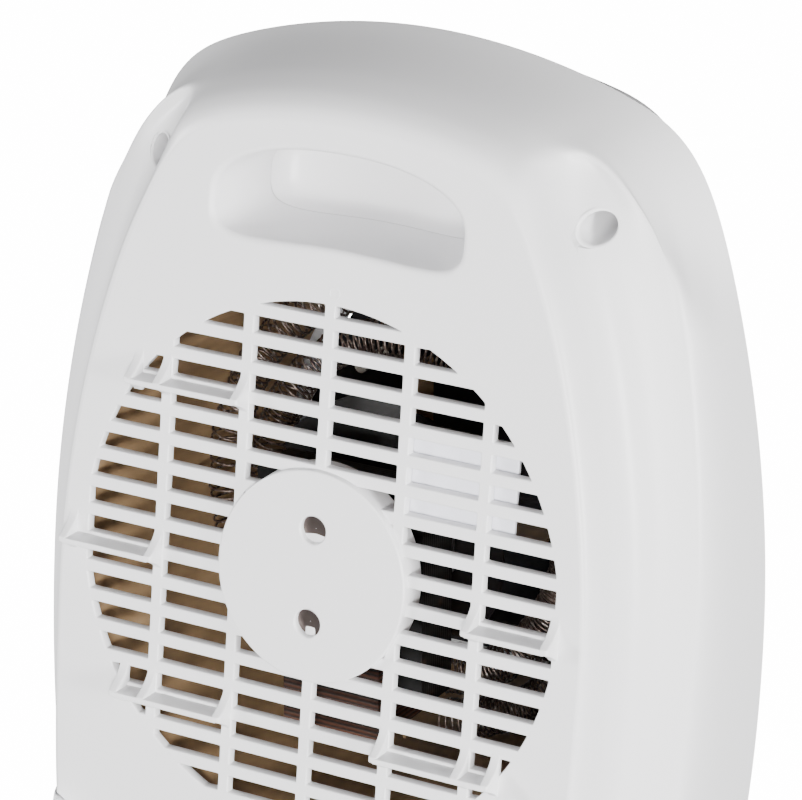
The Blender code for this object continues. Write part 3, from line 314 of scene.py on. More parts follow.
def rearRings():
    # Rows from the parting edge to the flat face. Each takes a share of the way from the rim to the face
    # outline and a depth: the channel's down the sides, the shoulder's round the top and bottom, mixed where
    # they meet.
    angle = np.arange(rearShell["sides"]) * 2 * pi / rearShell["sides"]
    edge, face = outlineRadius(angle, **rim), outlineRadius(angle, **flatFace)
    side, shoulder = np.array(rearShell["side"]), np.array(rearShell["shoulder"])
    radius = edge - (edge - face) * side[:, :1]
    x, height = radius * np.sin(angle), radius * np.cos(angle)
    past = np.maximum(np.abs(x) - rearShell["channelTopX"], 0)
    top = rearShell["channelTop"] - rearShell["channelTopDrop"] * past**2
    fade = rearShell["channelFade"]
    channel = smoothStep((top - height) / fade) * smoothStep((height - rearShell["channelBottom"]) / fade)
    channel = channel * smoothStep((np.abs(x) - rearShell["channelSideX"]) / rearShell["channelSideFade"])
    radius = edge - (edge - face) * (shoulder[:, :1] + (side[:, :1] - shoulder[:, :1]) * channel)
    x, height = radius * np.sin(angle), radius * np.cos(angle)
    full = faceY(height) - partingY
    ridgeDepth = side[rearShell["ridgeRing"], 1]
    below = np.arange(len(side))[:, None] < rearShell["ridgeRing"]
    depth = np.where(below, ridgeDepth + (full - ridgeDepth) * side[:, 1:], side[:, 1:])
    depth = shoulder[:, 1:] * full + (depth - shoulder[:, 1:] * full) * channel
    return splineRows(np.stack([x, faceY(height) - depth, axisZ + height], axis=-1), rearShell["steps"])


def frontRings():
    # Rows from the parting edge to the flat nose, by the same rule with one profile all round.
    angle = np.arange(frontShell["sides"]) * 2 * pi / frontShell["sides"]
    edge, end = outlineRadius(angle, **rim), outlineRadius(angle, **nose)
    rings = np.array(frontShell["rings"])
    radius = edge - (edge - end) * rings[:, :1]
    y = partingY - heater["gap"] - (heater["frontDepth"] - heater["gap"]) * rings[:, 1:] + 0 * radius
    rows = np.stack([radius * np.sin(angle), y, axisZ + radius * np.cos(angle)], axis=-1)
    return splineRows(rows, frontShell["steps"])


def hollowRings(rings, past):
    # The rows drawn in towards the middle of the parting plane by the wall, with a first row past the open
    # edge.
    middle = np.array([0, partingY, axisZ])
    reach = np.abs(rings - middle).max(axis=(0, 1))
    inner = middle + (rings - middle) * (1 - heater["wall"] / reach)
    first = inner[:1].copy()
    first[..., 1] = past
    return np.concatenate([first, inner])


grip = dict(
    halfWidth=0.0352, halfHeight=0.0116, height=0.0937, bend=0.285, power=3.2,
    depth=0.0240, cupDepth=0.0070, rim=0.0016, sides=192, skin=0.00004,
    # the dished back from its edge to its middle: share of the outline and share of the depth
    dish=[(1.03, -0.0006), (1.0, 0.0), (0.985, 0.20), (0.955, 0.42), (0.90, 0.66), (0.80, 0.84), (0.62, 0.95),
          (0.35, 1.0), (0.02, 1.0)],
)


def gripOutline(grow, depth, scale=1.0):
    # Ring of the grip recess at a depth behind the face: a superellipse bent to an arch.
    t = np.arange(grip["sides"]) * 2 * pi / grip["sides"]
    across, up = superellipse(t, 2 / grip["power"])
    across = across * (grip["halfWidth"] * scale + grow)
    up = up * (grip["halfHeight"] * scale + grow)
    height = grip["height"] + up - across**2 / grip["bend"]
    return np.stack([across, faceY(height) - depth, axisZ + height], axis=1)


def makeRearShell():
    rings = rearRings()
    shell = newObject("rear_cover", *loftSolid(rings), "white_plastic")
    faceOutward(shell)
    tools = [tool(*loftSolid(hollowRings(rings, partingY - 0.01)))]
    tools.append(rodTool(heater["grilleRadius"] + 0.0004, rearY + 0.05, rearY - 0.05, sides=192))
    tools.append(tool(*loftSolid([gripOutline(grip["rim"], -0.02), gripOutline(grip["rim"], 0.02)])))
    radius, floor = posts["bore"] + posts["cut"], partingY + posts["floor"]
    for x, height in posts["places"]:
        tools.append(rodTool(radius, rearY + 0.03, floor, x, axisZ + height, posts["sides"]))
    tools.append(rodTool(gland["cut"], rearY + 0.05, partingY + 0.03, gland["x"], gland["z"], 48))
    joined(shell, tools)
    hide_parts("rear_shell")
    print("rear cover", len(shell.data.polygons))


def makePostBores():
    # Sleeves of the screw recesses, each with a rounded mouth that follows the channel's floor.
    bore, mouth, screw, sides = posts["bore"], posts["mouth"], posts["screw"], posts["sides"]
    followDepth = 0.010  # the sleeve follows the floor's slope less and less down to here
    for index, (x, height) in enumerate(posts["places"]):
        y = surfaceY(x, height)
        floor = y - (partingY + posts["floor"])
        profile = [(bore + mouth + 0.0003, 0.00003)]
        for turn in np.linspace(0, 1, 7) * pi / 2:
            profile.append((bore + mouth * (1 - sin(turn)), mouth * (1 - cos(turn))))
        profile += [(bore, 0.5 * floor), (bore - 0.0002, floor), (screw, floor)]
        profile.append((screw - 0.0004, floor + 0.001))
        rows = turnedRings([(radius, -depth) for radius, depth in profile], (x, y, axisZ + height), sides)
        slope = surfaceSlope(x, height)
        lift = np.clip(1 - np.array([depth for _, depth in profile]) / followDepth, 0, 1)[:, None]
        rise = (rows[..., 0] - x) * slope[0] + (rows[..., 2] - axisZ - height) * slope[1]
        rows[..., 1] += lift * rise
        verts, faces = rows.reshape(-1, 3), gridFaces(len(profile), sides)
        sleeve = newObject(f"screw_recess_{index + 1}", verts, faces, "white_plastic")
        towards(sleeve, np.array([x, y, axisZ + height]))


def towards(piece, point):
    # Turns an open surface's faces to look at the point, where on the whole they look away from it.
    mesh = piece.data
    centres, normals = readValues(mesh.polygons, "center", 3), readValues(mesh.polygons, "normal", 3)
    if np.sum((point - centres) * normals) < 0:
        mesh.flip_normals()


rearSurface = {}


def surfaceY(x, height):
    # Where the rear shell's outside lies under a point: the nearest rows of the shell's own grid, weighted.
    if "points" not in rearSurface:
        rearSurface["points"] = rearRings().reshape(-1, 3)
    points = rearSurface["points"]
    away = (points[:, 0] - x) ** 2 + (points[:, 2] - axisZ - height) ** 2
    near = np.argpartition(away, 6)[:6]
    weight = 1 / (away[near] + 1e-9)
    return float(np.sum(points[near, 1] * weight) / np.sum(weight))


def surfaceSlope(x, height, step=0.003):
    across = (surfaceY(x + step, height) - surfaceY(x - step, height)) / (2 * step)
    up = (surfaceY(x, height + step) - surfaceY(x, height - step)) / (2 * step)
    return across, up


def makeGrip():
    # The recess: a quarter-round rim, then walls that close in a little towards the dished back.
    edge, skin, sides = grip["rim"], grip["skin"], grip["sides"]
    rows = [gripOutline(edge + 0.0004, skin)]
    for turn in np.linspace(0, pi / 2, 9):
        rows.append(gripOutline(edge * (1 - sin(turn)), edge * (1 - cos(turn)) + skin))
    for share in np.linspace(0.1, 1, 12):
        depth = edge + (grip["depth"] - edge) * share
        rows.append(gripOutline(0, depth, 1 - 0.05 * share))
    verts, faces = np.array(rows).reshape(-1, 3), gridFaces(len(rows), sides)
    wallSkin = newObject("grip_tunnel", verts, faces, "white_plastic")
    centre = np.array([0, faceY(grip["height"]) - 0.01, axisZ + grip["height"]])
    towards(wallSkin, centre)
    back, dish = grip["depth"] + heater["gap"], splineRows(np.array(grip["dish"]), 4)
    rows = [gripOutline(0, back + grip["cupDepth"] * max(deep, -0.001), 0.95 * scale) for scale, deep in dish]
    verts = np.array(rows).reshape(-1, 3)
    faces = gridFaces(len(rows), sides) + [list(range((len(rows) - 1) * sides, len(rows) * sides))]
    cup = newObject("grip_back", verts, faces, "white_plastic")
    towards(cup, centre)
    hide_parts("grip_cup")
    print("grip recess")


grille = dict(
    barWidth=0.0030, slotHeight=0.00435, thick=0.0027, edge=0.00032,
    hubRadius=0.0270, hubProud=0.0018, hubDepth=0.0075,
    screwBore=0.0036, screwSpacing=0.0240, screwFace=0.0016,
    slotCorner=0.00035, leastSlot=0.0012, slotStep=0.00008,
)
gateMark = dict(x=-0.0010, height=0.0715, ring=[
    (0.0017, 0.0), (0.0016, 0.00012), (0.0013, 0.00012), (0.0012, 0.00002), (0.0001, 0.00002)])


def slotOutline(x0, x1, y0, y1, outer):
    # Outline of one opening, a box cut by the round edge. From its middle, the nearest of the box's sides and
    # the circle in every direction. Then a moving average along the line rounds the corners. None where too
    # little is left.
    gridX, gridY = np.meshgrid(np.linspace(x0, x1, 61), np.linspace(y0, y1, 31))
    inside = gridX**2 + gridY**2 < outer**2
    if inside.sum() < 30:
        return None
    x, y = gridX[inside], gridY[inside]
    if min(np.ptp(x), np.ptp(y)) < grille["leastSlot"]:
        return None
    middleX, middleY = x.mean(), y.mean()
    t = np.linspace(0, 2 * pi, 2881)[:-1]
    dx, dy = np.ptp(x) / 2 * np.cos(t), np.ptp(y) / 2 * np.sin(t)
    length = np.hypot(dx, dy)
    dx, dy = dx / length, dy / length
    sideways = np.where(dx > 0, x1 - middleX, middleX - x0) / np.maximum(np.abs(dx), 1e-9)
    upward = np.where(dy > 0, y1 - middleY, middleY - y0) / np.maximum(np.abs(dy), 1e-9)
    along = middleX * dx + middleY * dy
    roundEdge = -along + np.sqrt(along**2 + outer**2 - middleX**2 - middleY**2)
    nearest = np.minimum(np.minimum(sideways, upward), roundEdge)
    line = np.stack([middleX + nearest * dx, middleY + nearest * dy], axis=1)
    steps = np.linalg.norm(np.roll(line, -1, axis=0) - line, axis=1)
    total = steps.sum()
    count = int(total / grille["slotStep"])
    place = np.concatenate([[0], np.cumsum(steps)])
    closed = np.concatenate([line, line[:1]])
    even = np.arange(count) * total / count
    line = np.stack([np.interp(even, place, closed[:, axis]) for axis in (0, 1)], axis=1)
    width = max(3, int(grille["slotCorner"] * 1.6 / grille["slotStep"]))
    shifts = range(-width // 2, width // 2 + 1)
    soft = sum(np.roll(line, shift, axis=0) for shift in shifts) / len(shifts)
    ahead = np.roll(soft, -1, axis=0) - soft
    behind = soft - np.roll(soft, 1, axis=0)
    lengths = np.linalg.norm(ahead, axis=1) * np.linalg.norm(behind, axis=1)
    bend = np.abs(ahead[:, 0] * behind[:, 1] - ahead[:, 1] * behind[:, 0]) / lengths
    index = np.arange(count)
    keep = ((bend > 0.02) & (index % 2 == 0)) | (index % 40 == 0)
    return soft[keep]


def makeRearGrille():
    pitch, barPitch = heater["pitch"], heater["barPitch"]
    outlines = [circle(heater["grilleRadius"] + 0.0030, 192)]
    for row in range(-9, 10):
        y0, y1 = row * pitch - grille["slotHeight"] / 2, row * pitch + grille["slotHeight"] / 2
        for column in range(-3, 3):
            x0 = column * barPitch + grille["barWidth"] / 2
            x1 = (column + 1) * barPitch - grille["barWidth"] / 2
            outline = slotOutline(x0, x1, y0, y1, heater["grilleRadius"])
            hidden = outline is not None and np.hypot(*outline.T).max() < grille["hubRadius"] - 0.0005
            if outline is not None and not hidden:
                outlines.append(outline)
    slats = plate("rear_grille", outlines, grille["thick"], grille["edge"], "white_plastic",
                  onRear(grille["thick"] / 2 + 0.00003))
    half = grille["screwSpacing"] / 2
    bores = [circle(grille["screwBore"], 48, 0, side * half) for side in (1, -1)]
    thick = grille["hubProud"] + grille["hubDepth"] - 0.0005
    hub = plate("motor_hub", [circle(grille["hubRadius"], 160), *bores], thick, 0.0005, "white_plastic",
                onRear(thick / 2 - grille["hubProud"]), steps=3)
    bore, deep, faces = grille["screwBore"], grille["screwFace"], gridFaces(3, 40)
    for index, side in enumerate((1, -1)):
        height = side * half
        mouth = (0, faceY(height) + grille["hubProud"], axisZ + height)
        wall = turnedRings([(bore, -0.0005), (bore, -deep * 0.7), (bore, -deep - 0.0001)], mouth, 40)
        sleeve = newObject(f"hub_bore_wall_{index + 1}", wall, faces, "white_plastic")
        towards(sleeve, np.array(mouth))
        face = turnedRings([(bore, -deep), (0.0020, -deep - 0.00004), (0.0001, -deep - 0.00008)], mouth, 40)
        floor = newObject(f"motor_screw_face_{index + 1}", face, faces, "steel")
        towards(floor, np.array(mouth))
    gate = turnedRings(gateMark["ring"], (0, 0, 0), 32)
    gate[..., 1] += faceY(gate[..., 2] + gateMark["height"])
    gate[..., 0] += gateMark["x"]
    gate[..., 2] += axisZ + gateMark["height"]
    mark = newObject("gate_mark", gate.reshape(-1, 3), gridFaces(len(gateMark["ring"]), 32), "white_plastic")
    towards(mark, np.array([0, rearY + 0.1, axisZ]))
    print("rear grille", len(outlines) - 1, "openings,", len(slats.data.polygons) + len(hub.data.polygons))


ledges = dict(
    reach=0.0055, thick=0.0016, fin=0.0024, above=0.95, below=0.50, edge=0.00035, finEdge=0.0006, foot=0.0010,
    # side, height in slats, and its two ends in metres from the middle
    places=[(1, 5.5, 0.0230, 0.0545), (1, -0.5, 0.0460, 0.0720), (1, -5.5, 0.0230, 0.0545),
            (-1, -0.5, 0.0460, 0.0679), (-1, -5.5, 0.0230, 0.0545)],
)


def finRings(x, height):
    # Sections of a fin from its top to its foot: each a rounded U whose reach follows a curve that flares to
    # the shelf.
    above, below = ledges["above"] * heater["pitch"], ledges["below"] * heater["pitch"]
    half, edge, foot = ledges["fin"] / 2, ledges["finEdge"], ledges["foot"]
    lift = np.linspace(above, -below, 29)
    share = np.where(lift > 0, lift / above, -lift / below)
    flat = np.clip((share - 0.12) / 0.88, 0, 1)
    reach = ledges["reach"] * (1 - flat) ** np.where(lift > 0, 1.9, 1.3)
    turn = np.linspace(0, pi / 2, 5)
    tip = 1 - edge / ledges["reach"] * (1 - np.sin(turn))
    inset = edge * (1 - np.cos(turn))
    out = np.concatenate([[0], tip, tip[::-1], [0]])
    side = np.concatenate([[-half], -half + inset, (half - inset)[::-1], [half]])
    y = faceY(height + lift)[:, None] - foot + (reach[:, None] + foot) * out
    return np.stack([x + side + 0 * y, y, axisZ + height + lift[:, None] + 0 * y], axis=-1)


def makeLedges():
    # Spacer ledges: a shelf on a slat, and a fin at each end and at the bar between.
    pitch, thick, reach = heater["pitch"], ledges["thick"], ledges["reach"]
    for number, (side, row, near, far) in enumerate(ledges["places"], 1):
        height = row * pitch
        face = faceY(height)
        shelf = np.array([(near, -0.0012), (far, -0.0012), (far, reach), (near, reach)])
        flat = Matrix(((side, 0, 0, 0), (0, 1, 0, face), (0, 0, 1, axisZ + height), (0, 0, 0, 1)))
        plate(f"ledge_{number}_shelf", [shelf], thick, ledges["edge"], "white_plastic", flat)
        middle = 2 * heater["barPitch"]
        ends = [near, far] + ([middle] if near < middle - 0.004 and far > middle + 0.004 else [])
        for index, x in enumerate(ends):
            rings = finRings(side * x, height)
            fin = newObject(f"ledge_{number}_fin_{index + 1}", *loftSolid(rings), "white_plastic")
            faceOutward(fin)
    print("ledges")


# The shield plate's two sides, its low and high edge in slats, its thickness, edge and depth behind the slats
shield = dict(near=0.0225, far=0.0535, low=2.55, high=5.45, thick=0.0012, edge=0.0003, behind=0.0010)


def makeShieldPlate():
    x0, x1 = shield["near"], shield["far"]
    y0, y1 = shield["low"] * heater["pitch"], shield["high"] * heater["pitch"]
    corners = np.array([(x0, y0), (x1, y0), (x1, y1), (x0, y1)])
    place = onRear(grille["thick"] + shield["behind"])
    blank = plate("shield_plate_face", [corners], shield["thick"], shield["edge"], "label_white", place)
    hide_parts("shield_plate")


duct = dict(rear=0.0702, front=0.0615, start=0.0034, end=0.0905, lining=0.0006)
coils = dict(
    depth=0.0520, turnRadius=0.0050, wire=0.00034, seed=7, openAt=0.29, sag=0.0006,
    # node, radius of the ring, turns, how unevenly the turns are spread
    rings=[("heating_coil_outer", 0.0580, 230, 0.55), ("heating_coil_inner", 0.0455, 190, 0.45)],
)


def makeLiner():
    # The duct's lining: a tapered tube whose rear edge follows the leaning face.
    t = np.arange(160) * 2 * pi / 160
    share = np.linspace(0, 1, 40)[:, None]
    rows = []
    for inset in (0.0, duct["lining"]):
        radius = duct["rear"] - inset + (duct["front"] - duct["rear"]) * share
        height = radius * np.cos(t)
        start = faceY(height) - duct["start"]
        y = start + (rearY - duct["end"] - start) * share
        rows.append(np.stack([radius * np.sin(t), y, axisZ + height], axis=-1))
    grid = np.concatenate([rows[0], rows[1][::-1]])
    liner = newObject("duct_liner", grid.reshape(-1, 3), gridFaces(80, 160, aroundRows=True), "mica")
    faceOutward(liner)
    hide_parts("mica_liner")


def tubeAlong(points, radius, sides=6):
    # Rings of a tube: a small circle carried along the points, square to their direction.
    ahead = np.gradient(points, axis=0)
    ahead /= np.linalg.norm(ahead, axis=1, keepdims=True)
    reference = np.where(np.abs(ahead[:, 1:2]) > 0.9, np.array([[1.0, 0, 0]]), np.array([[0, 1.0, 0]]))
    first = np.cross(ahead, reference)
    first /= np.linalg.norm(first, axis=1, keepdims=True)
    second = np.cross(ahead, first)
    t = np.arange(sides) * 2 * pi / sides
    ring = first[:, None] * np.cos(t)[None, :, None] + second[:, None] * np.sin(t)[None, :, None]
    return points[:, None] + ring * radius


def makeCoils():
    # Resistance wire: a helix laid round a ring, its turns bunched in places and each a little uneven.
    rng = np.random.default_rng(coils["seed"])
    for name, radius, turns, spread in coils["rings"]:
        count = turns * 16
        share = np.linspace(0, 1, count)
        bunch = share - spread / (2 * pi) * np.sin(2 * pi * (share - coils["openAt"]))
        bunch = bunch + 0.003 * np.sin(2 * pi * share * 11)
        bunch = (bunch - bunch[0]) / (bunch[-1] - bunch[0])
        around = pi + 2 * pi * (0.025 + 0.95 * bunch)
        wander = np.interp(share * turns, np.arange(turns + 1), rng.normal(0, 1, turns + 1))
        turn = 2 * pi * turns * share
        reach = coils["turnRadius"] * (1 + 0.05 * wander)
        out = radius + reach * np.cos(turn) + coils["sag"] * np.sin(around * 4)
        y = rearY - coils["depth"] + reach * np.sin(turn)
        points = np.stack([out * np.sin(around), y, axisZ + out * np.cos(around)], axis=1)
        verts, faces = loftSolid(tubeAlong(points, coils["wire"], 6))
        wire = newObject(f"{name}_wire", verts, faces, "coil_wire", sharp=80)
        faceOutward(wire)
        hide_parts(name)
    print("coils")


fan = dict(
    blades=5, rest=27.0, hub=0.0095, radius=0.0350, depth=0.0100, start=0.0335, thick=0.0012,
    # the blade's angle at its root and how much less it is at the tip, its width there and how much it gains
    steep=58, twist=34, root=0.0100, widen=0.0330, bow=0.0012,
)


def makeFan():
    # Blades: strips bowed along their chord and steeper near the hub, with a thickness that runs out at their
    # edges.
    rows, columns = 28, 25
    share = np.linspace(0, 1, rows)[:, None]
    across = np.linspace(-0.5, 0.5, columns)[None, :]
    middleY = rearY - fan["start"] - fan["depth"] / 2
    radius = fan["hub"] - 0.0010 + (fan["radius"] - fan["hub"] + 0.0010) * share
    slope = np.radians(fan["steep"] - fan["twist"] * share)
    spread = (fan["root"] + fan["widen"] * share**0.8) * np.cos(slope * 0.35)
    corner = 1 - 0.16 * np.clip((share - 0.86) / 0.14, 0, 1) ** 2
    lift = across * np.minimum(fan["depth"] * 0.86, spread * np.tan(slope))
    lift = lift + fan["bow"] * share * (1 - 4 * across**2)
    half = fan["thick"] / 2 * (1 - (2 * across) ** 6 * 0.7)
    pieces, faces = [], []
    for number in range(fan["blades"]):
        angle = radians(fan["rest"]) + number * 2 * pi / fan["blades"] + across * spread * corner / radius
        x, z = radius * np.sin(angle), axisZ + radius * np.cos(angle)
        sides = [np.stack([x, middleY + lift + half * face, z], axis=-1) for face in (1, -1)]
        loop = np.concatenate([sides[0], sides[1][:, ::-1]], axis=1)
        verts, quads = loftSolid(loop, number * rows * 2 * columns)
        pieces.append(verts)
        faces += quads
    blades = newObject("fan_blades", np.concatenate(pieces), faces, "fan_plastic", "fan")
    faceOutward(blades)
    end, start = middleY - fan["depth"] / 2 - 0.001, middleY + fan["depth"] / 2 + 0.001
    corners = [(0, end), (fan["hub"] - 0.0010, end), (fan["hub"], end + 0.0010), (fan["hub"], start - 0.0020),
               (fan["hub"] - 0.0020, start), (0, start)]
    hub = turnedPiece("fan_hub", corners, 0.0008, (0, 0, axisZ), "fan_plastic", "fan")
    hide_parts("fan_rotor")
    print("fan")


frontGrille = dict(
    radius=0.0600, lip=0.0035, proud=0.0022, barPitch=0.0300, barWidth=0.0026, slotHeight=0.0050,
)


def makeFrontShell():
    rings = frontRings()
    shell = newObject("front_cover", *loftSolid(rings), "white_plastic")
    faceOutward(shell)
    tools = [tool(*loftSolid(hollowRings(rings, partingY + 0.01)))]
    tools.append(rodTool(frontGrille["radius"] + heater["gap"], frontY - 0.02, frontY + 0.03, sides=160))
    near, far = frontY - 0.02, frontY + 0.02
    for radius, x in ((0.0036, -controls["x"]), (0.0036, controls["x"]), (0.0038, 0)):
        tools.append(rodTool(radius, near, far, x, controls["z"], 48))
    joined(shell, tools)
    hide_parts("front_shell")
    print("front cover", len(shell.data.polygons))


def makeFrontGrille():
    outlines = [circle(frontGrille["radius"] + frontGrille["lip"], 160)]
    inside = frontGrille["radius"] - 0.003
    rows = int((frontGrille["radius"] - 0.004) / heater["pitch"])
    halfSlot = frontGrille["slotHeight"] / 2
    for row in range(-rows, rows + 1):
        middle = row * heater["pitch"]
        for column in (-1.5, -0.5, 0.5, 1.5):
            x0 = (column - 0.5) * frontGrille["barPitch"] + frontGrille["barWidth"] / 2
            x1 = (column + 0.5) * frontGrille["barPitch"] - frontGrille["barWidth"] / 2
            outline = slotOutline(x0, x1, middle - halfSlot, middle + halfSlot, inside)
            if outline is not None:
                outlines.append(outline)
    thick = frontGrille["proud"] - heater["gap"]
    place = onFront(-heater["gap"] - thick / 2)
    face = plate("outlet_grille", outlines, thick, 0.0006, "white_plastic", place, steps=3)
    profile = [(inside, 0.0), (inside, 0.0040), (frontGrille["radius"], 0.0040), (frontGrille["radius"], 0.0)]
    rows = turnedRings(profile, (0, frontY - 0.0006, axisZ), 160)
    verts, faces = rows.reshape(-1, 3), gridFaces(4, 160, aroundRows=True)
    collar = newObject("outlet_grille_collar", verts, faces, "white_plastic")
    faceOutward(collar)
    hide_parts("front_grille")


louvres = dict(radius=0.0560, depth=0.0080, drop=0.0046, thick=0.0011)


def makeLouvres():
    # Louvre blades behind the outlet grille's slats: flat strips as long as their chord, rising towards the
    # front. They are black, a dark sheet of painted shade that stands for the dark deep inside the duct and
    # shuts the view through the outlet.
    count = int(louvres["radius"] / heater["pitch"] - 0.2)
    heights = (np.arange(-count, count) + 0.5) * heater["pitch"]
    across = np.linspace(-1, 1, 17)
    half = louvres["thick"] / 2
    for number, height in enumerate(heights, 1):
        reach = np.sqrt(louvres["radius"] ** 2 - height**2)
        corners = [(0.0006, -half), (0.0006, half), (louvres["depth"], half - louvres["drop"]),
                   (louvres["depth"], -half - louvres["drop"])]
        level = 0 * across
        rings = [np.stack([across * reach, frontY + back + level, axisZ + height + up + level], axis=-1)
                 for back, up in corners]
        rings = np.stack(rings, axis=1)
        # black blades: painted shade standing for the dark inside of the duct
        blade = newObject(f"outlet_shade_louvre_{number}", *loftSolid(rings), "black_plastic")
        faceOutward(blade)


controls = dict(
    x=0.0310, z=axisZ + 0.0830, radius=0.0130, skirt=0.0045, reach=0.0130, ribs=30, ribHeight=0.00022,
    barHalfX=0.0028, barHalfZ=0.0110, markRadius=0.0165, dot=0.0008,
    # the grip bar from its foot to its top: share of the height and share of the outline
    bar=[(0.0, 1.06), (0.15, 1.0), (0.5, 0.93), (0.85, 0.86), (0.95, 0.82), (1.0, 0.70), (1.0, 0.02)],
)


def makeKnobs():
    # Each knob: a turned skirt with fine grips round it and a raised bar across its face.
    for body, x in (("function_control", controls["x"]), ("thermostat_control", -controls["x"])):
        name = body.replace("_control", "")
        base, tip = frontY - 0.0008, frontY - controls["reach"]
        skirt = base - controls["skirt"]
        corners = [(0, skirt), (0.0095, skirt), (0.0122, skirt + 0.0004), (controls["radius"], base - 0.0006),
                   (controls["radius"], base), (0, base)]
        profile = roundedProfile(corners, 0.0008)
        profile[:, 0] = np.maximum(profile[:, 0], 1e-5)
        rows = turnedRings(profile, (x, 0, controls["z"]), 240)
        t = np.arange(240) * 2 * pi / 240
        outer = np.clip((profile[:, :1] - 0.0118) / 0.0006, 0, 1)
        ribs = controls["ribHeight"] * np.cos(controls["ribs"] * t) * outer
        rows[..., 0] += ribs * np.sin(t)
        rows[..., 2] += ribs * np.cos(t)
        disc = newObject(f"{name}_dial", *loftSolid(rows), "white_plastic", body)
        faceOutward(disc)
        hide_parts(f"{name}_switch_knob" if name == "function" else f"{name}_knob")
        u = np.arange(96) * 2 * pi / 96
        level, upright = superellipse(u, 0.45)
        bar = []
        for share, scale in splineRows(np.array(controls["bar"]), 4):
            across = level * (controls["barHalfX"] * scale)
            up = upright * (controls["barHalfZ"] * (0.6 + 0.4 * scale))
            y = np.full(96, skirt + 0.0006 + (tip - skirt - 0.0006) * min(share, 1))
            bar.append(np.stack([x + across, y, controls["z"] + up], axis=1))
        ridge = newObject(f"{name}_grip_bar", *loftSolid(bar), "white_plastic", body)
        faceOutward(ridge)
        near, far = controls["z"] + 0.0025, controls["z"] + 0.0025 + 0.0035
        left, right = x - 0.0004, x + 0.0004
        pointer = [np.array([(left, y, near), (right, y, near), (right, y, far), (left, y, far)])
                   for y in (tip - 0.00006, tip + 0.0004)]
        line = newObject(f"{name}_pointer", *loftSolid(pointer), "black_plastic", body)
        faceOutward(line)
    lens = [(0, frontY - 0.0022), (0.0024, frontY - 0.0019), (0.0035, frontY - 0.0009),
            (0.0035, frontY + 0.003), (0, frontY + 0.003)]
    dome = turnedPiece("indicator_dome", lens, 0.0008, (0, 0, controls["z"]), "lens", sides=48)
    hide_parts("indicator_lens")
    marks = []
    # four dots round the switch, and ten that grow round the thermostat
    far, middle = controls["markRadius"], controls["z"] - axisZ
    for x, angles in ((controls["x"], (0, 90, 180, 270)), (-controls["x"], range(0, 271, 30))):
        for index, degrees in enumerate(angles):
            turn = radians(degrees)
            size = controls["dot"] + (0.00007 * index if x < 0 else 0.0003)
            marks.append(circle(size, 20, x + far * sin(turn), middle + far * cos(turn)))
    place = onFront(-0.0001)
    for index, outline in enumerate(marks):
        plate(f"control_mark_{index + 1}", [outline], 0.0003, 0.0001, "black_plastic", place, steps=1)
    print("controls")


base = dict(halfX=0.0800, halfY=0.0555, y=0.0050, footHeight=0.0025, sides=240)


def makeBase():
    # An oval plate, a superellipse drawn in at each height, and a turned pad over each foot.
    across, along = superellipse(np.arange(base["sides"]) * 2 * pi / base["sides"], 0.5)
    low, top = base["footHeight"] - 0.0005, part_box("base_plate")[1].z
    profile = [(0.03, low + 0.0001), (0.0022, low), (0.0006, low + 0.0006), (0, low + 0.0016),
               (0.0004, low + 0.0045), (0.0020, low + 0.0070), (0.0040, top - 0.0006), (0.0050, top),
               (0.03, top)]
    rows = []
    for inset, z in profile:
        x, y = across * (base["halfX"] - inset), along * (base["halfY"] - inset) + base["y"]
        rows.append(np.stack([x, y, np.full(base["sides"], z)], axis=1))
    body = newObject("base_cover", *loftSolid(rows), "white_plastic")
    faceOutward(body)
    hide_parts("base_plate")
    for index in range(4):
        low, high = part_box(f"rubber_foot_{index + 1}")
        centre = ((low.x + high.x) / 2, (low.y + high.y) / 2, 0)
        corners = [(0, 0.0004), (0.0035, 0.0004), (0.0040, 0), (0.0075, 0), (0.0075, 0.0022), (0, 0.0022)]
        foot = turnedPiece(f"foot_pad_{index + 1}", corners, 0.0005, centre, "rubber", sides=48, axis="Z")
        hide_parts(f"rubber_foot_{index + 1}")
    print("base")


def makeCordGland():
    y = faceY(gland["z"] - axisZ)
    bore, sleeve, flange = gland["bore"], gland["sleeve"], gland["flange"]
    top, end, under = y + gland["proud"], y - gland["reach"], y + 0.0012
    corners = [(bore, end), (bore, top - 0.0008), (bore + 0.0006, top), (flange - 0.0004, top),
               (flange, under + 0.0002), (flange, under), (sleeve, under), (sleeve, end)]
    profile = roundedProfile(corners + corners[:1], 0.0004)[:-1]
    rows = turnedRings(profile, (gland["x"], 0, gland["z"]), 64)
    faces = gridFaces(len(profile), 64, aroundRows=True)
    ring = newObject("cord_gland_ring", rows.reshape(-1, 3), faces, "rubber")
    faceOutward(ring)
    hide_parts("cord_gland")


class Value:
    # A node's output, or a number, that can be worked with as in arithmetic.

    def __init__(self, paint, socket):
        self.paint, self.socket = paint, socket

    def math(self, operation, other=0.0, swap=False):
        pair = (other, self) if swap else (self, other)
        return self.paint.node("ShaderNodeMath", dict(operation=operation), {0: pair[0], 1: pair[1]})

    def __add__(self, other):
        return self.math("ADD", other)

    def __sub__(self, other):
        return self.math("SUBTRACT", other)

    def __mul__(self, other):
        return self.math("MULTIPLY", other)

    def __truediv__(self, other):
        return self.math("DIVIDE", other)

    def __pow__(self, other):
        return self.math("POWER", other)

    def __rsub__(self, other):
        return self.math("SUBTRACT", other, swap=True)

    def __rtruediv__(self, other):
        return self.math("DIVIDE", other, swap=True)

    __radd__, __rmul__ = __add__, __mul__

    def clamp(self, low=0.0, high=1.0):
        return self.math("MAXIMUM", low).math("MINIMUM", high)


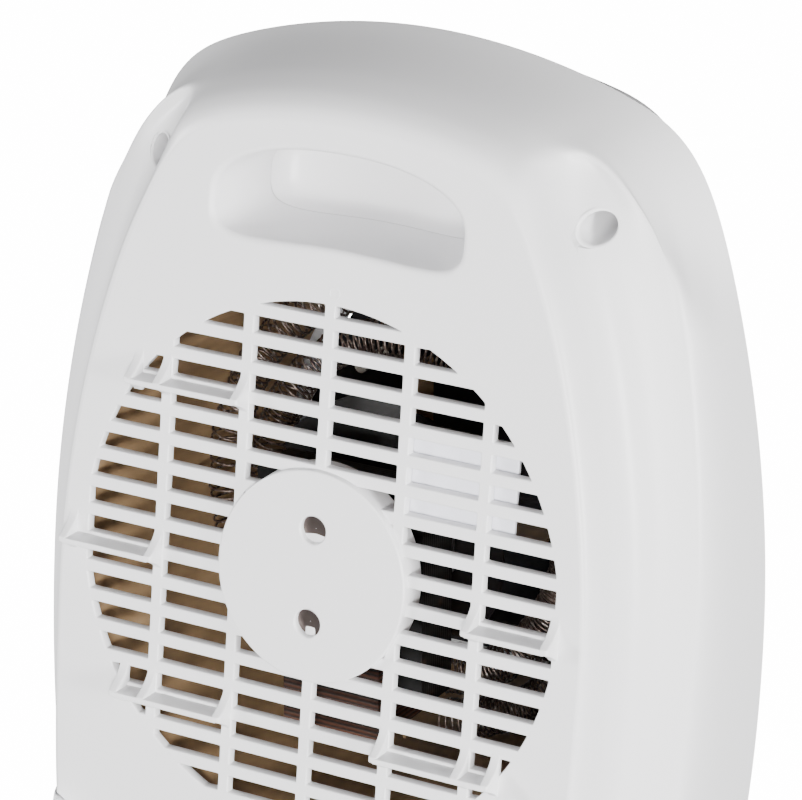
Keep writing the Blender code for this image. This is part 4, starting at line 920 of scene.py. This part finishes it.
class Paint:
    # A material and the nodes that are added to it.

    def __init__(self, name, rough=0.5, metal=0.0, colour=(0.8, 0.8, 0.8), **fixed):
        self.material = bpy.data.materials.new(name)
        self.material.use_nodes = True
        self.tree = self.material.node_tree
        self.shader = self.tree.nodes["Principled BSDF"]
        self.set(**{"Base Color": (*colour, 1), "Roughness": rough, "Metallic": metal, **fixed})

    def set(self, **values):
        for name, value in values.items():
            self.put(self.shader.inputs[name.replace("_", " ")], value)

    def put(self, socket, value):
        if isinstance(value, Value):
            self.tree.links.new(value.socket, socket)
        else:
            socket.default_value = value

    def node(self, kind, settings=None, values=None, out=0):
        made = self.tree.nodes.new(kind)
        for name, value in (settings or {}).items():
            if name == "stops":
                ramp = made.color_ramp
                while len(ramp.elements) < len(value):
                    ramp.elements.new(0.5)
                for element, (place, colour) in zip(ramp.elements, value):
                    element.position, element.color = place, (*colour, 1)
            else:
                setattr(made, name, value)
        for name, value in (values or {}).items():
            self.put(made.inputs[name], value)
        return Value(self, made.outputs[out])

    def place(self):
        return self.node("ShaderNodeTexCoord", out=3)

    def stretched(self, scale):
        return self.node("ShaderNodeMapping", None, {"Vector": self.place(), "Scale": scale})

    def noise(self, scale, detail=2.0, rough=0.5, vector=None):
        values = {"Vector": vector or self.place(), "Scale": scale, "Detail": detail, "Roughness": rough}
        return self.node("ShaderNodeTexNoise", None, values)

    def mix(self, share, first, second):
        values = {0: share, 6: (*first, 1) if isinstance(first, tuple) else first}
        values[7] = (*second, 1) if isinstance(second, tuple) else second
        return self.node("ShaderNodeMix", dict(data_type="RGBA"), values, out=2)

    def bump(self, height, distance, strength=1.0, normal=None):
        values = {"Height": height, "Distance": distance, "Strength": strength}
        if normal:
            values["Normal"] = normal
        return self.node("ShaderNodeBump", None, values)


plastic = dict(colour=(0.800, 0.797, 0.812), warm=(0.790, 0.786, 0.790), rough=0.36, grain=0.000008)
shieldPlastic = dict(colour=(0.775, 0.775, 0.835), warm=(0.76, 0.765, 0.82), rough=0.30, grain=0.000004)


def whitePlastic(name, colour, warm, rough, grain):
    # Moulded plastic: a fine spark-eroded grain, slow drifts of tone, and patches polished by handling.
    paint = Paint(name, rough=rough, colour=colour, **{"Specular IOR Level": 0.42})
    drift = paint.noise(9.0, 3.0, 0.55)
    fine = paint.noise(2600.0, 1.0, 0.5)
    sink = paint.noise(38.0, 1.0, 0.4)
    paint.set(**{"Base Color": paint.mix((drift * 1.6 - 0.3).clamp(), colour, warm)})
    paint.set(Roughness=(rough + (drift - 0.5) * 0.14 + (fine - 0.5) * 0.10).clamp(0.12, 0.9))
    paint.set(Normal=paint.bump(fine, grain, 0.55, paint.bump(sink, 0.00012, 0.05)))
    return paint.material


def micaSheet(name):
    # Pressed mica: tan flakes in layers, browned by heat in random clouds, with a resin shine.
    paint = Paint(name, rough=0.34, metal=0.0, **{"Specular IOR Level": 0.5})
    grain = {"Vector": paint.stretched((1, 0.35, 1)), "Scale": 260.0}
    flakes = paint.node("ShaderNodeTexVoronoi", dict(feature="F1"), grain)
    cloud = paint.noise(26.0, 4.0, 0.6, paint.stretched((1, 0.5, 1)))
    streak = paint.noise(90.0, 3.0, 0.6, paint.stretched((1, 0.12, 1)))
    tone = (cloud * 0.7 + flakes * 0.25 + streak * 0.35 - 0.25).clamp()
    stops = [(0.0, (0.12, 0.078, 0.042)), (0.45, (0.30, 0.195, 0.105)), (0.75, (0.40, 0.27, 0.15)),
             (1.0, (0.56, 0.41, 0.25))]
    paint.set(**{"Base Color": paint.node("ShaderNodeValToRGB", dict(stops=stops), {"Fac": tone})})
    paint.set(Roughness=(0.26 + cloud * 0.3).clamp(0.1, 0.9))
    paint.set(Normal=paint.bump(flakes + streak * 0.6, 0.00006, 0.5))
    return paint.material


def oxidisedWire(name):
    # Resistance wire: grey-brown oxide with a few bright worn places.
    paint = Paint(name, rough=0.34, metal=0.85)
    tint = paint.noise(220.0, 3.0, 0.6)
    worn = (paint.noise(900.0, 2.0, 0.5) * 3.2 - 1.7).clamp()
    oxide = paint.mix((tint * 2.2 - 0.6).clamp(), (0.07, 0.048, 0.040), (0.26, 0.20, 0.17))
    paint.set(**{"Base Color": paint.mix(worn * 0.75, oxide, (0.85, 0.80, 0.76))})
    paint.set(Roughness=(0.26 + tint * 0.28).clamp())
    paint.set(Normal=paint.bump(tint, 0.00003, 0.3))
    return paint.material


def laminatedSteel(name):
    # Motor core: stacked sheets seen as fine lines, with traces of rust, painted near black: partly a dark
    # varnish, partly painted shade for the dark deep inside the duct.
    paint = Paint(name, rough=0.42, metal=0.6)
    lines = paint.node("ShaderNodeTexWave", dict(wave_type="BANDS", bands_direction="Y", wave_profile="SIN"),
                       {"Vector": paint.place(), "Scale": 320.0, "Distortion": 0.3, "Detail": 1.0})
    spots = paint.noise(160.0, 4.0, 0.6)
    rust = (spots * 4.0 - 2.4).clamp()
    # near-black sheets: dark varnish and painted shade of the duct's dark inside
    base = paint.mix(lines, (0.004, 0.004, 0.004), (0.014, 0.013, 0.012))
    paint.set(**{"Base Color": paint.mix(rust * 0.7, base, (0.075, 0.032, 0.014))})
    paint.set(Roughness=(0.40 + spots * 0.25).clamp(), Metallic=(0.3 - rust * 0.3).clamp())
    paint.set(Normal=paint.bump(lines, 0.00008, 0.6))
    return paint.material


def rolledSteel(name, colour=(0.50, 0.50, 0.51)):
    # Zinc-plated steel: spangle, fine drawing lines and a few dull smears.
    paint = Paint(name, rough=0.3, metal=1.0)
    cells = {"Vector": paint.place(), "Scale": 190.0}
    spangle = paint.node("ShaderNodeTexVoronoi", dict(feature="F1"), cells)
    lines = paint.noise(500.0, 2.0, 0.5, paint.stretched((1, 0.03, 1)))
    smear = paint.noise(34.0, 3.0, 0.6)
    dark = tuple(0.72 * part for part in colour)
    paint.set(**{"Base Color": paint.mix((spangle * 0.9 + smear * 0.4 - 0.3).clamp(), colour, dark)})
    paint.set(Roughness=(0.20 + smear * 0.24 + lines * 0.10).clamp())
    paint.set(Normal=paint.bump(lines, 0.00002, 0.35))
    return paint.material


def darkPlastic(name, colour, rough, scuff):
    # Dark moulding: dust in random clouds and a soft sheen that varies.
    paint = Paint(name, rough=rough, colour=colour)
    cloud = paint.noise(60.0, 4.0, 0.6)
    fine = paint.noise(1500.0, 1.0, 0.5)
    dust = (cloud * 2.6 - 1.3).clamp() * scuff
    lighter = tuple(min(1.0, part * 1.8 + 0.02) for part in colour)
    paint.set(**{"Base Color": paint.mix(dust, colour, lighter)})
    paint.set(Roughness=(rough + (cloud - 0.5) * 0.25).clamp(0.1, 0.95))
    paint.set(Normal=paint.bump(fine, 0.00001, 0.5))
    return paint.material


def rubberSkin(name):
    paint = Paint(name, rough=0.7, colour=(0.022, 0.022, 0.023))
    cloud = paint.noise(90.0, 3.0, 0.6)
    fine = paint.noise(1900.0, 2.0, 0.6)
    worn = (cloud * 2 - 0.7).clamp()
    paint.set(**{"Base Color": paint.mix(worn, (0.018, 0.018, 0.019), (0.040, 0.039, 0.038))})
    paint.set(Roughness=(0.58 + cloud * 0.3).clamp(), Normal=paint.bump(fine, 0.00002, 0.6))
    return paint.material


def glazedCeramic(name):
    paint = Paint(name, rough=0.3, colour=(0.72, 0.70, 0.64), **{"Coat Weight": 0.3})
    cloud = paint.noise(70.0, 3.0, 0.6)
    specks = (paint.noise(1300.0, 1.0, 0.5) * 6.0 - 4.1).clamp()
    base = paint.mix(cloud, (0.74, 0.72, 0.67), (0.62, 0.59, 0.52))
    paint.set(**{"Base Color": paint.mix(specks, base, (0.30, 0.26, 0.20))})
    paint.set(Roughness=(0.2 + cloud * 0.25).clamp(), Normal=paint.bump(cloud, 0.0001, 0.15))
    return paint.material


def clearLens(name):
    # Red lens over a lamp: fine prisms inside, each cell a paler or deeper red.
    coat = {"Coat Weight": 0.6, "Coat Roughness": 0.05}
    paint = Paint(name, rough=0.08, colour=(0.62, 0.03, 0.015), **coat)
    cells = {"Vector": paint.place(), "Scale": 1400.0}
    prisms = paint.node("ShaderNodeTexVoronoi", dict(feature="F1"), cells)
    paint.set(**{"Base Color": paint.mix(prisms, (0.70, 0.05, 0.02), (0.38, 0.012, 0.008))})
    paint.set(Roughness=(0.06 + prisms * 0.08).clamp(), Normal=paint.bump(prisms, 0.00004, 0.25))
    return paint.material


def windingTape(name):
    # Motor coil: copper turns under tape, painted very dark: partly dark varnished tape, partly painted shade
    # for the dark deep inside the duct.
    paint = Paint(name, rough=0.45, metal=0.2)
    turns = paint.node("ShaderNodeTexWave", dict(wave_type="BANDS", bands_direction="Z"),
                       {"Vector": paint.place(), "Scale": 240.0, "Distortion": 0.6, "Detail": 1.0})
    cloud = paint.noise(120.0, 3.0, 0.6)
    # dark copper and near-black tape: partly painted shade of the duct's dark inside
    copper = paint.mix(cloud, (0.10, 0.035, 0.016), (0.045, 0.02, 0.012))
    paint.set(**{"Base Color": paint.mix(turns, (0.020, 0.012, 0.010), copper)})
    paint.set(Roughness=(0.35 + cloud * 0.3).clamp(), Normal=paint.bump(turns, 0.0002, 0.6))
    return paint.material


def colouredSleeve(name, colour):
    paint = Paint(name, rough=0.42, colour=colour)
    cloud = paint.noise(140.0, 3.0, 0.6)
    darker = tuple(part * 0.6 for part in colour)
    paint.set(**{"Base Color": paint.mix(cloud, colour, darker)})
    paint.set(Roughness=(0.32 + cloud * 0.25).clamp(), Normal=paint.bump(cloud, 0.00005, 0.3))
    return paint.material


def makeMaterials():
    finish = {
        "white_plastic": whitePlastic("white moulding", **plastic),
        "label_white": whitePlastic("shield white", **shieldPlastic),
        "black_plastic": darkPlastic("black moulding", (0.016, 0.016, 0.018), 0.38, 0.5),
        "fan_plastic": darkPlastic("fan black", (0.0045, 0.0035, 0.0035), 0.42, 0.25),
        "dark_steel": laminatedSteel("motor core"),
        "steel": rolledSteel("plated steel"),
        "screw_steel": rolledSteel("screw face", (0.16, 0.13, 0.12)),
        "mica": micaSheet("mica sheet"),
        "coil_wire": oxidisedWire("resistance wire"),
        "winding": windingTape("motor winding"),
        "rubber": rubberSkin("rubber"),
        "lens": clearLens("red lens"),
        "ceramic": glazedCeramic("ceramic"),
        "lead_brown": colouredSleeve("brown sleeve", (0.13, 0.045, 0.018)),
        "lead_blue": colouredSleeve("blue sleeve", (0.03, 0.08, 0.30)),
        "brass": rolledSteel("brass", (0.62, 0.44, 0.17)),
    }
    slots = {entry["node"]: entry["material_slot"] for entry in frame["record"]["subparts"]}
    for name, node in frame["nodes"].items():
        node.data.materials.clear()
        node.data.materials.append(finish[slots[name]])
    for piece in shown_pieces():
        slot = piece.get("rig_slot")
        if slot:
            isScrew = piece.name.startswith("motor_screw")
            piece.data.materials.clear()
            piece.data.materials.append(finish["screw_steel" if isScrew else slot])
    print("materials", len(finish))


studio = dict(
    skyTop=0.09, skyLow=0.45, skyStart=0.12, skyBend=0.45,
    floorColour=(0.93, 0.93, 0.935), floorGlow=15.0, floorHalf=15, aim=(0, 0, 0.14),
    # name, place, size, watts and colour
    lamps=[("key", (-1.1, 2.4, 0.10), 0.8, 225.0, (1.0, 0.995, 0.99)),
           ("right", (-2.2, 0.5, 0.30), 0.7, 90.0, (1.0, 1.0, 1.0)),
           ("left", (2.1, 1.2, 0.7), 0.5, 60.0, (0.985, 0.99, 1.0))],
)


def makeStudio():
    world = bpy.data.worlds.new("studio")
    bpy.context.scene.world = world
    world.use_nodes = True
    tree = world.node_tree
    place = tree.nodes.new("ShaderNodeTexCoord")
    split = tree.nodes.new("ShaderNodeSeparateXYZ")
    ramp = tree.nodes.new("ShaderNodeValToRGB")
    tree.links.new(place.outputs["Generated"], split.inputs[0])
    tree.links.new(split.outputs["Z"], ramp.inputs["Fac"])
    low, top = studio["skyLow"], studio["skyTop"]
    ramp.color_ramp.interpolation = "EASE"
    first, second = ramp.color_ramp.elements
    first.position, first.color = studio["skyStart"], (low, low, low, 1)
    second.position, second.color = studio["skyStart"] + studio["skyBend"], (top, top, top * 1.01, 1)
    tree.links.new(ramp.outputs["Color"], tree.nodes["Background"].inputs["Color"])

    floor = bpy.data.meshes.new("floor")
    half = studio["floorHalf"]
    corners = [(-half, -half, 0), (half, -half, 0), (half, half, 0), (-half, half, 0)]
    floor.from_pydata(corners, [], [(0, 1, 2, 3)])
    ground = bpy.data.objects.new("floor", floor)
    bpy.context.scene.collection.objects.link(ground)
    glow = {"Emission Color": (1, 1, 1, 1), "Emission Strength": studio["floorGlow"]}
    paint = Paint("floor", rough=0.6, colour=studio["floorColour"], **glow)
    floor.materials.append(paint.material)
    ground.visible_diffuse = ground.visible_glossy = False

    for name, place, size, power, colour in studio["lamps"]:
        light = bpy.data.lights.new(name, "AREA")
        light.shape, light.size, light.energy, light.color = "SQUARE", size, power, colour
        lamp = bpy.data.objects.new(name, light)
        bpy.context.scene.collection.objects.link(lamp)
        lamp.location = place
        lamp.rotation_euler = (Vector(studio["aim"]) - Vector(place)).to_track_quat("-Z", "Y").to_euler()


view = dict(
    place=(-0.4770, 0.7817, 0.3907),  # from the middle of the rear grille
    look=(0.4686, -0.8103, -0.3519), roll=0.2, lens=179.55, sensor=36.0,
)


def makeCamera():
    lens = bpy.data.cameras.new("camera")
    lens.lens, lens.sensor_width, lens.clip_start, lens.clip_end = view["lens"], view["sensor"], 0.05, 60
    camera = bpy.data.objects.new("camera", lens)
    bpy.context.scene.collection.objects.link(camera)
    camera.location = Vector(view["place"]) + Vector((0, rearY, axisZ))
    turn = Vector(view["look"]).to_track_quat("-Z", "Y").to_matrix()
    camera.rotation_euler = (turn @ Matrix.Rotation(radians(view["roll"]), 3, "Z")).to_euler()
    bpy.context.scene.camera = camera


makeCamera()
makeRearShell()
makePostBores()
makeGrip()
makeRearGrille()
makeLedges()
makeShieldPlate()
makeLiner()
makeCoils()
makeFan()
makeFrontShell()
makeFrontGrille()
makeLouvres()
makeKnobs()
makeBase()
makeCordGland()
makeMaterials()
makeStudio()

print("done")
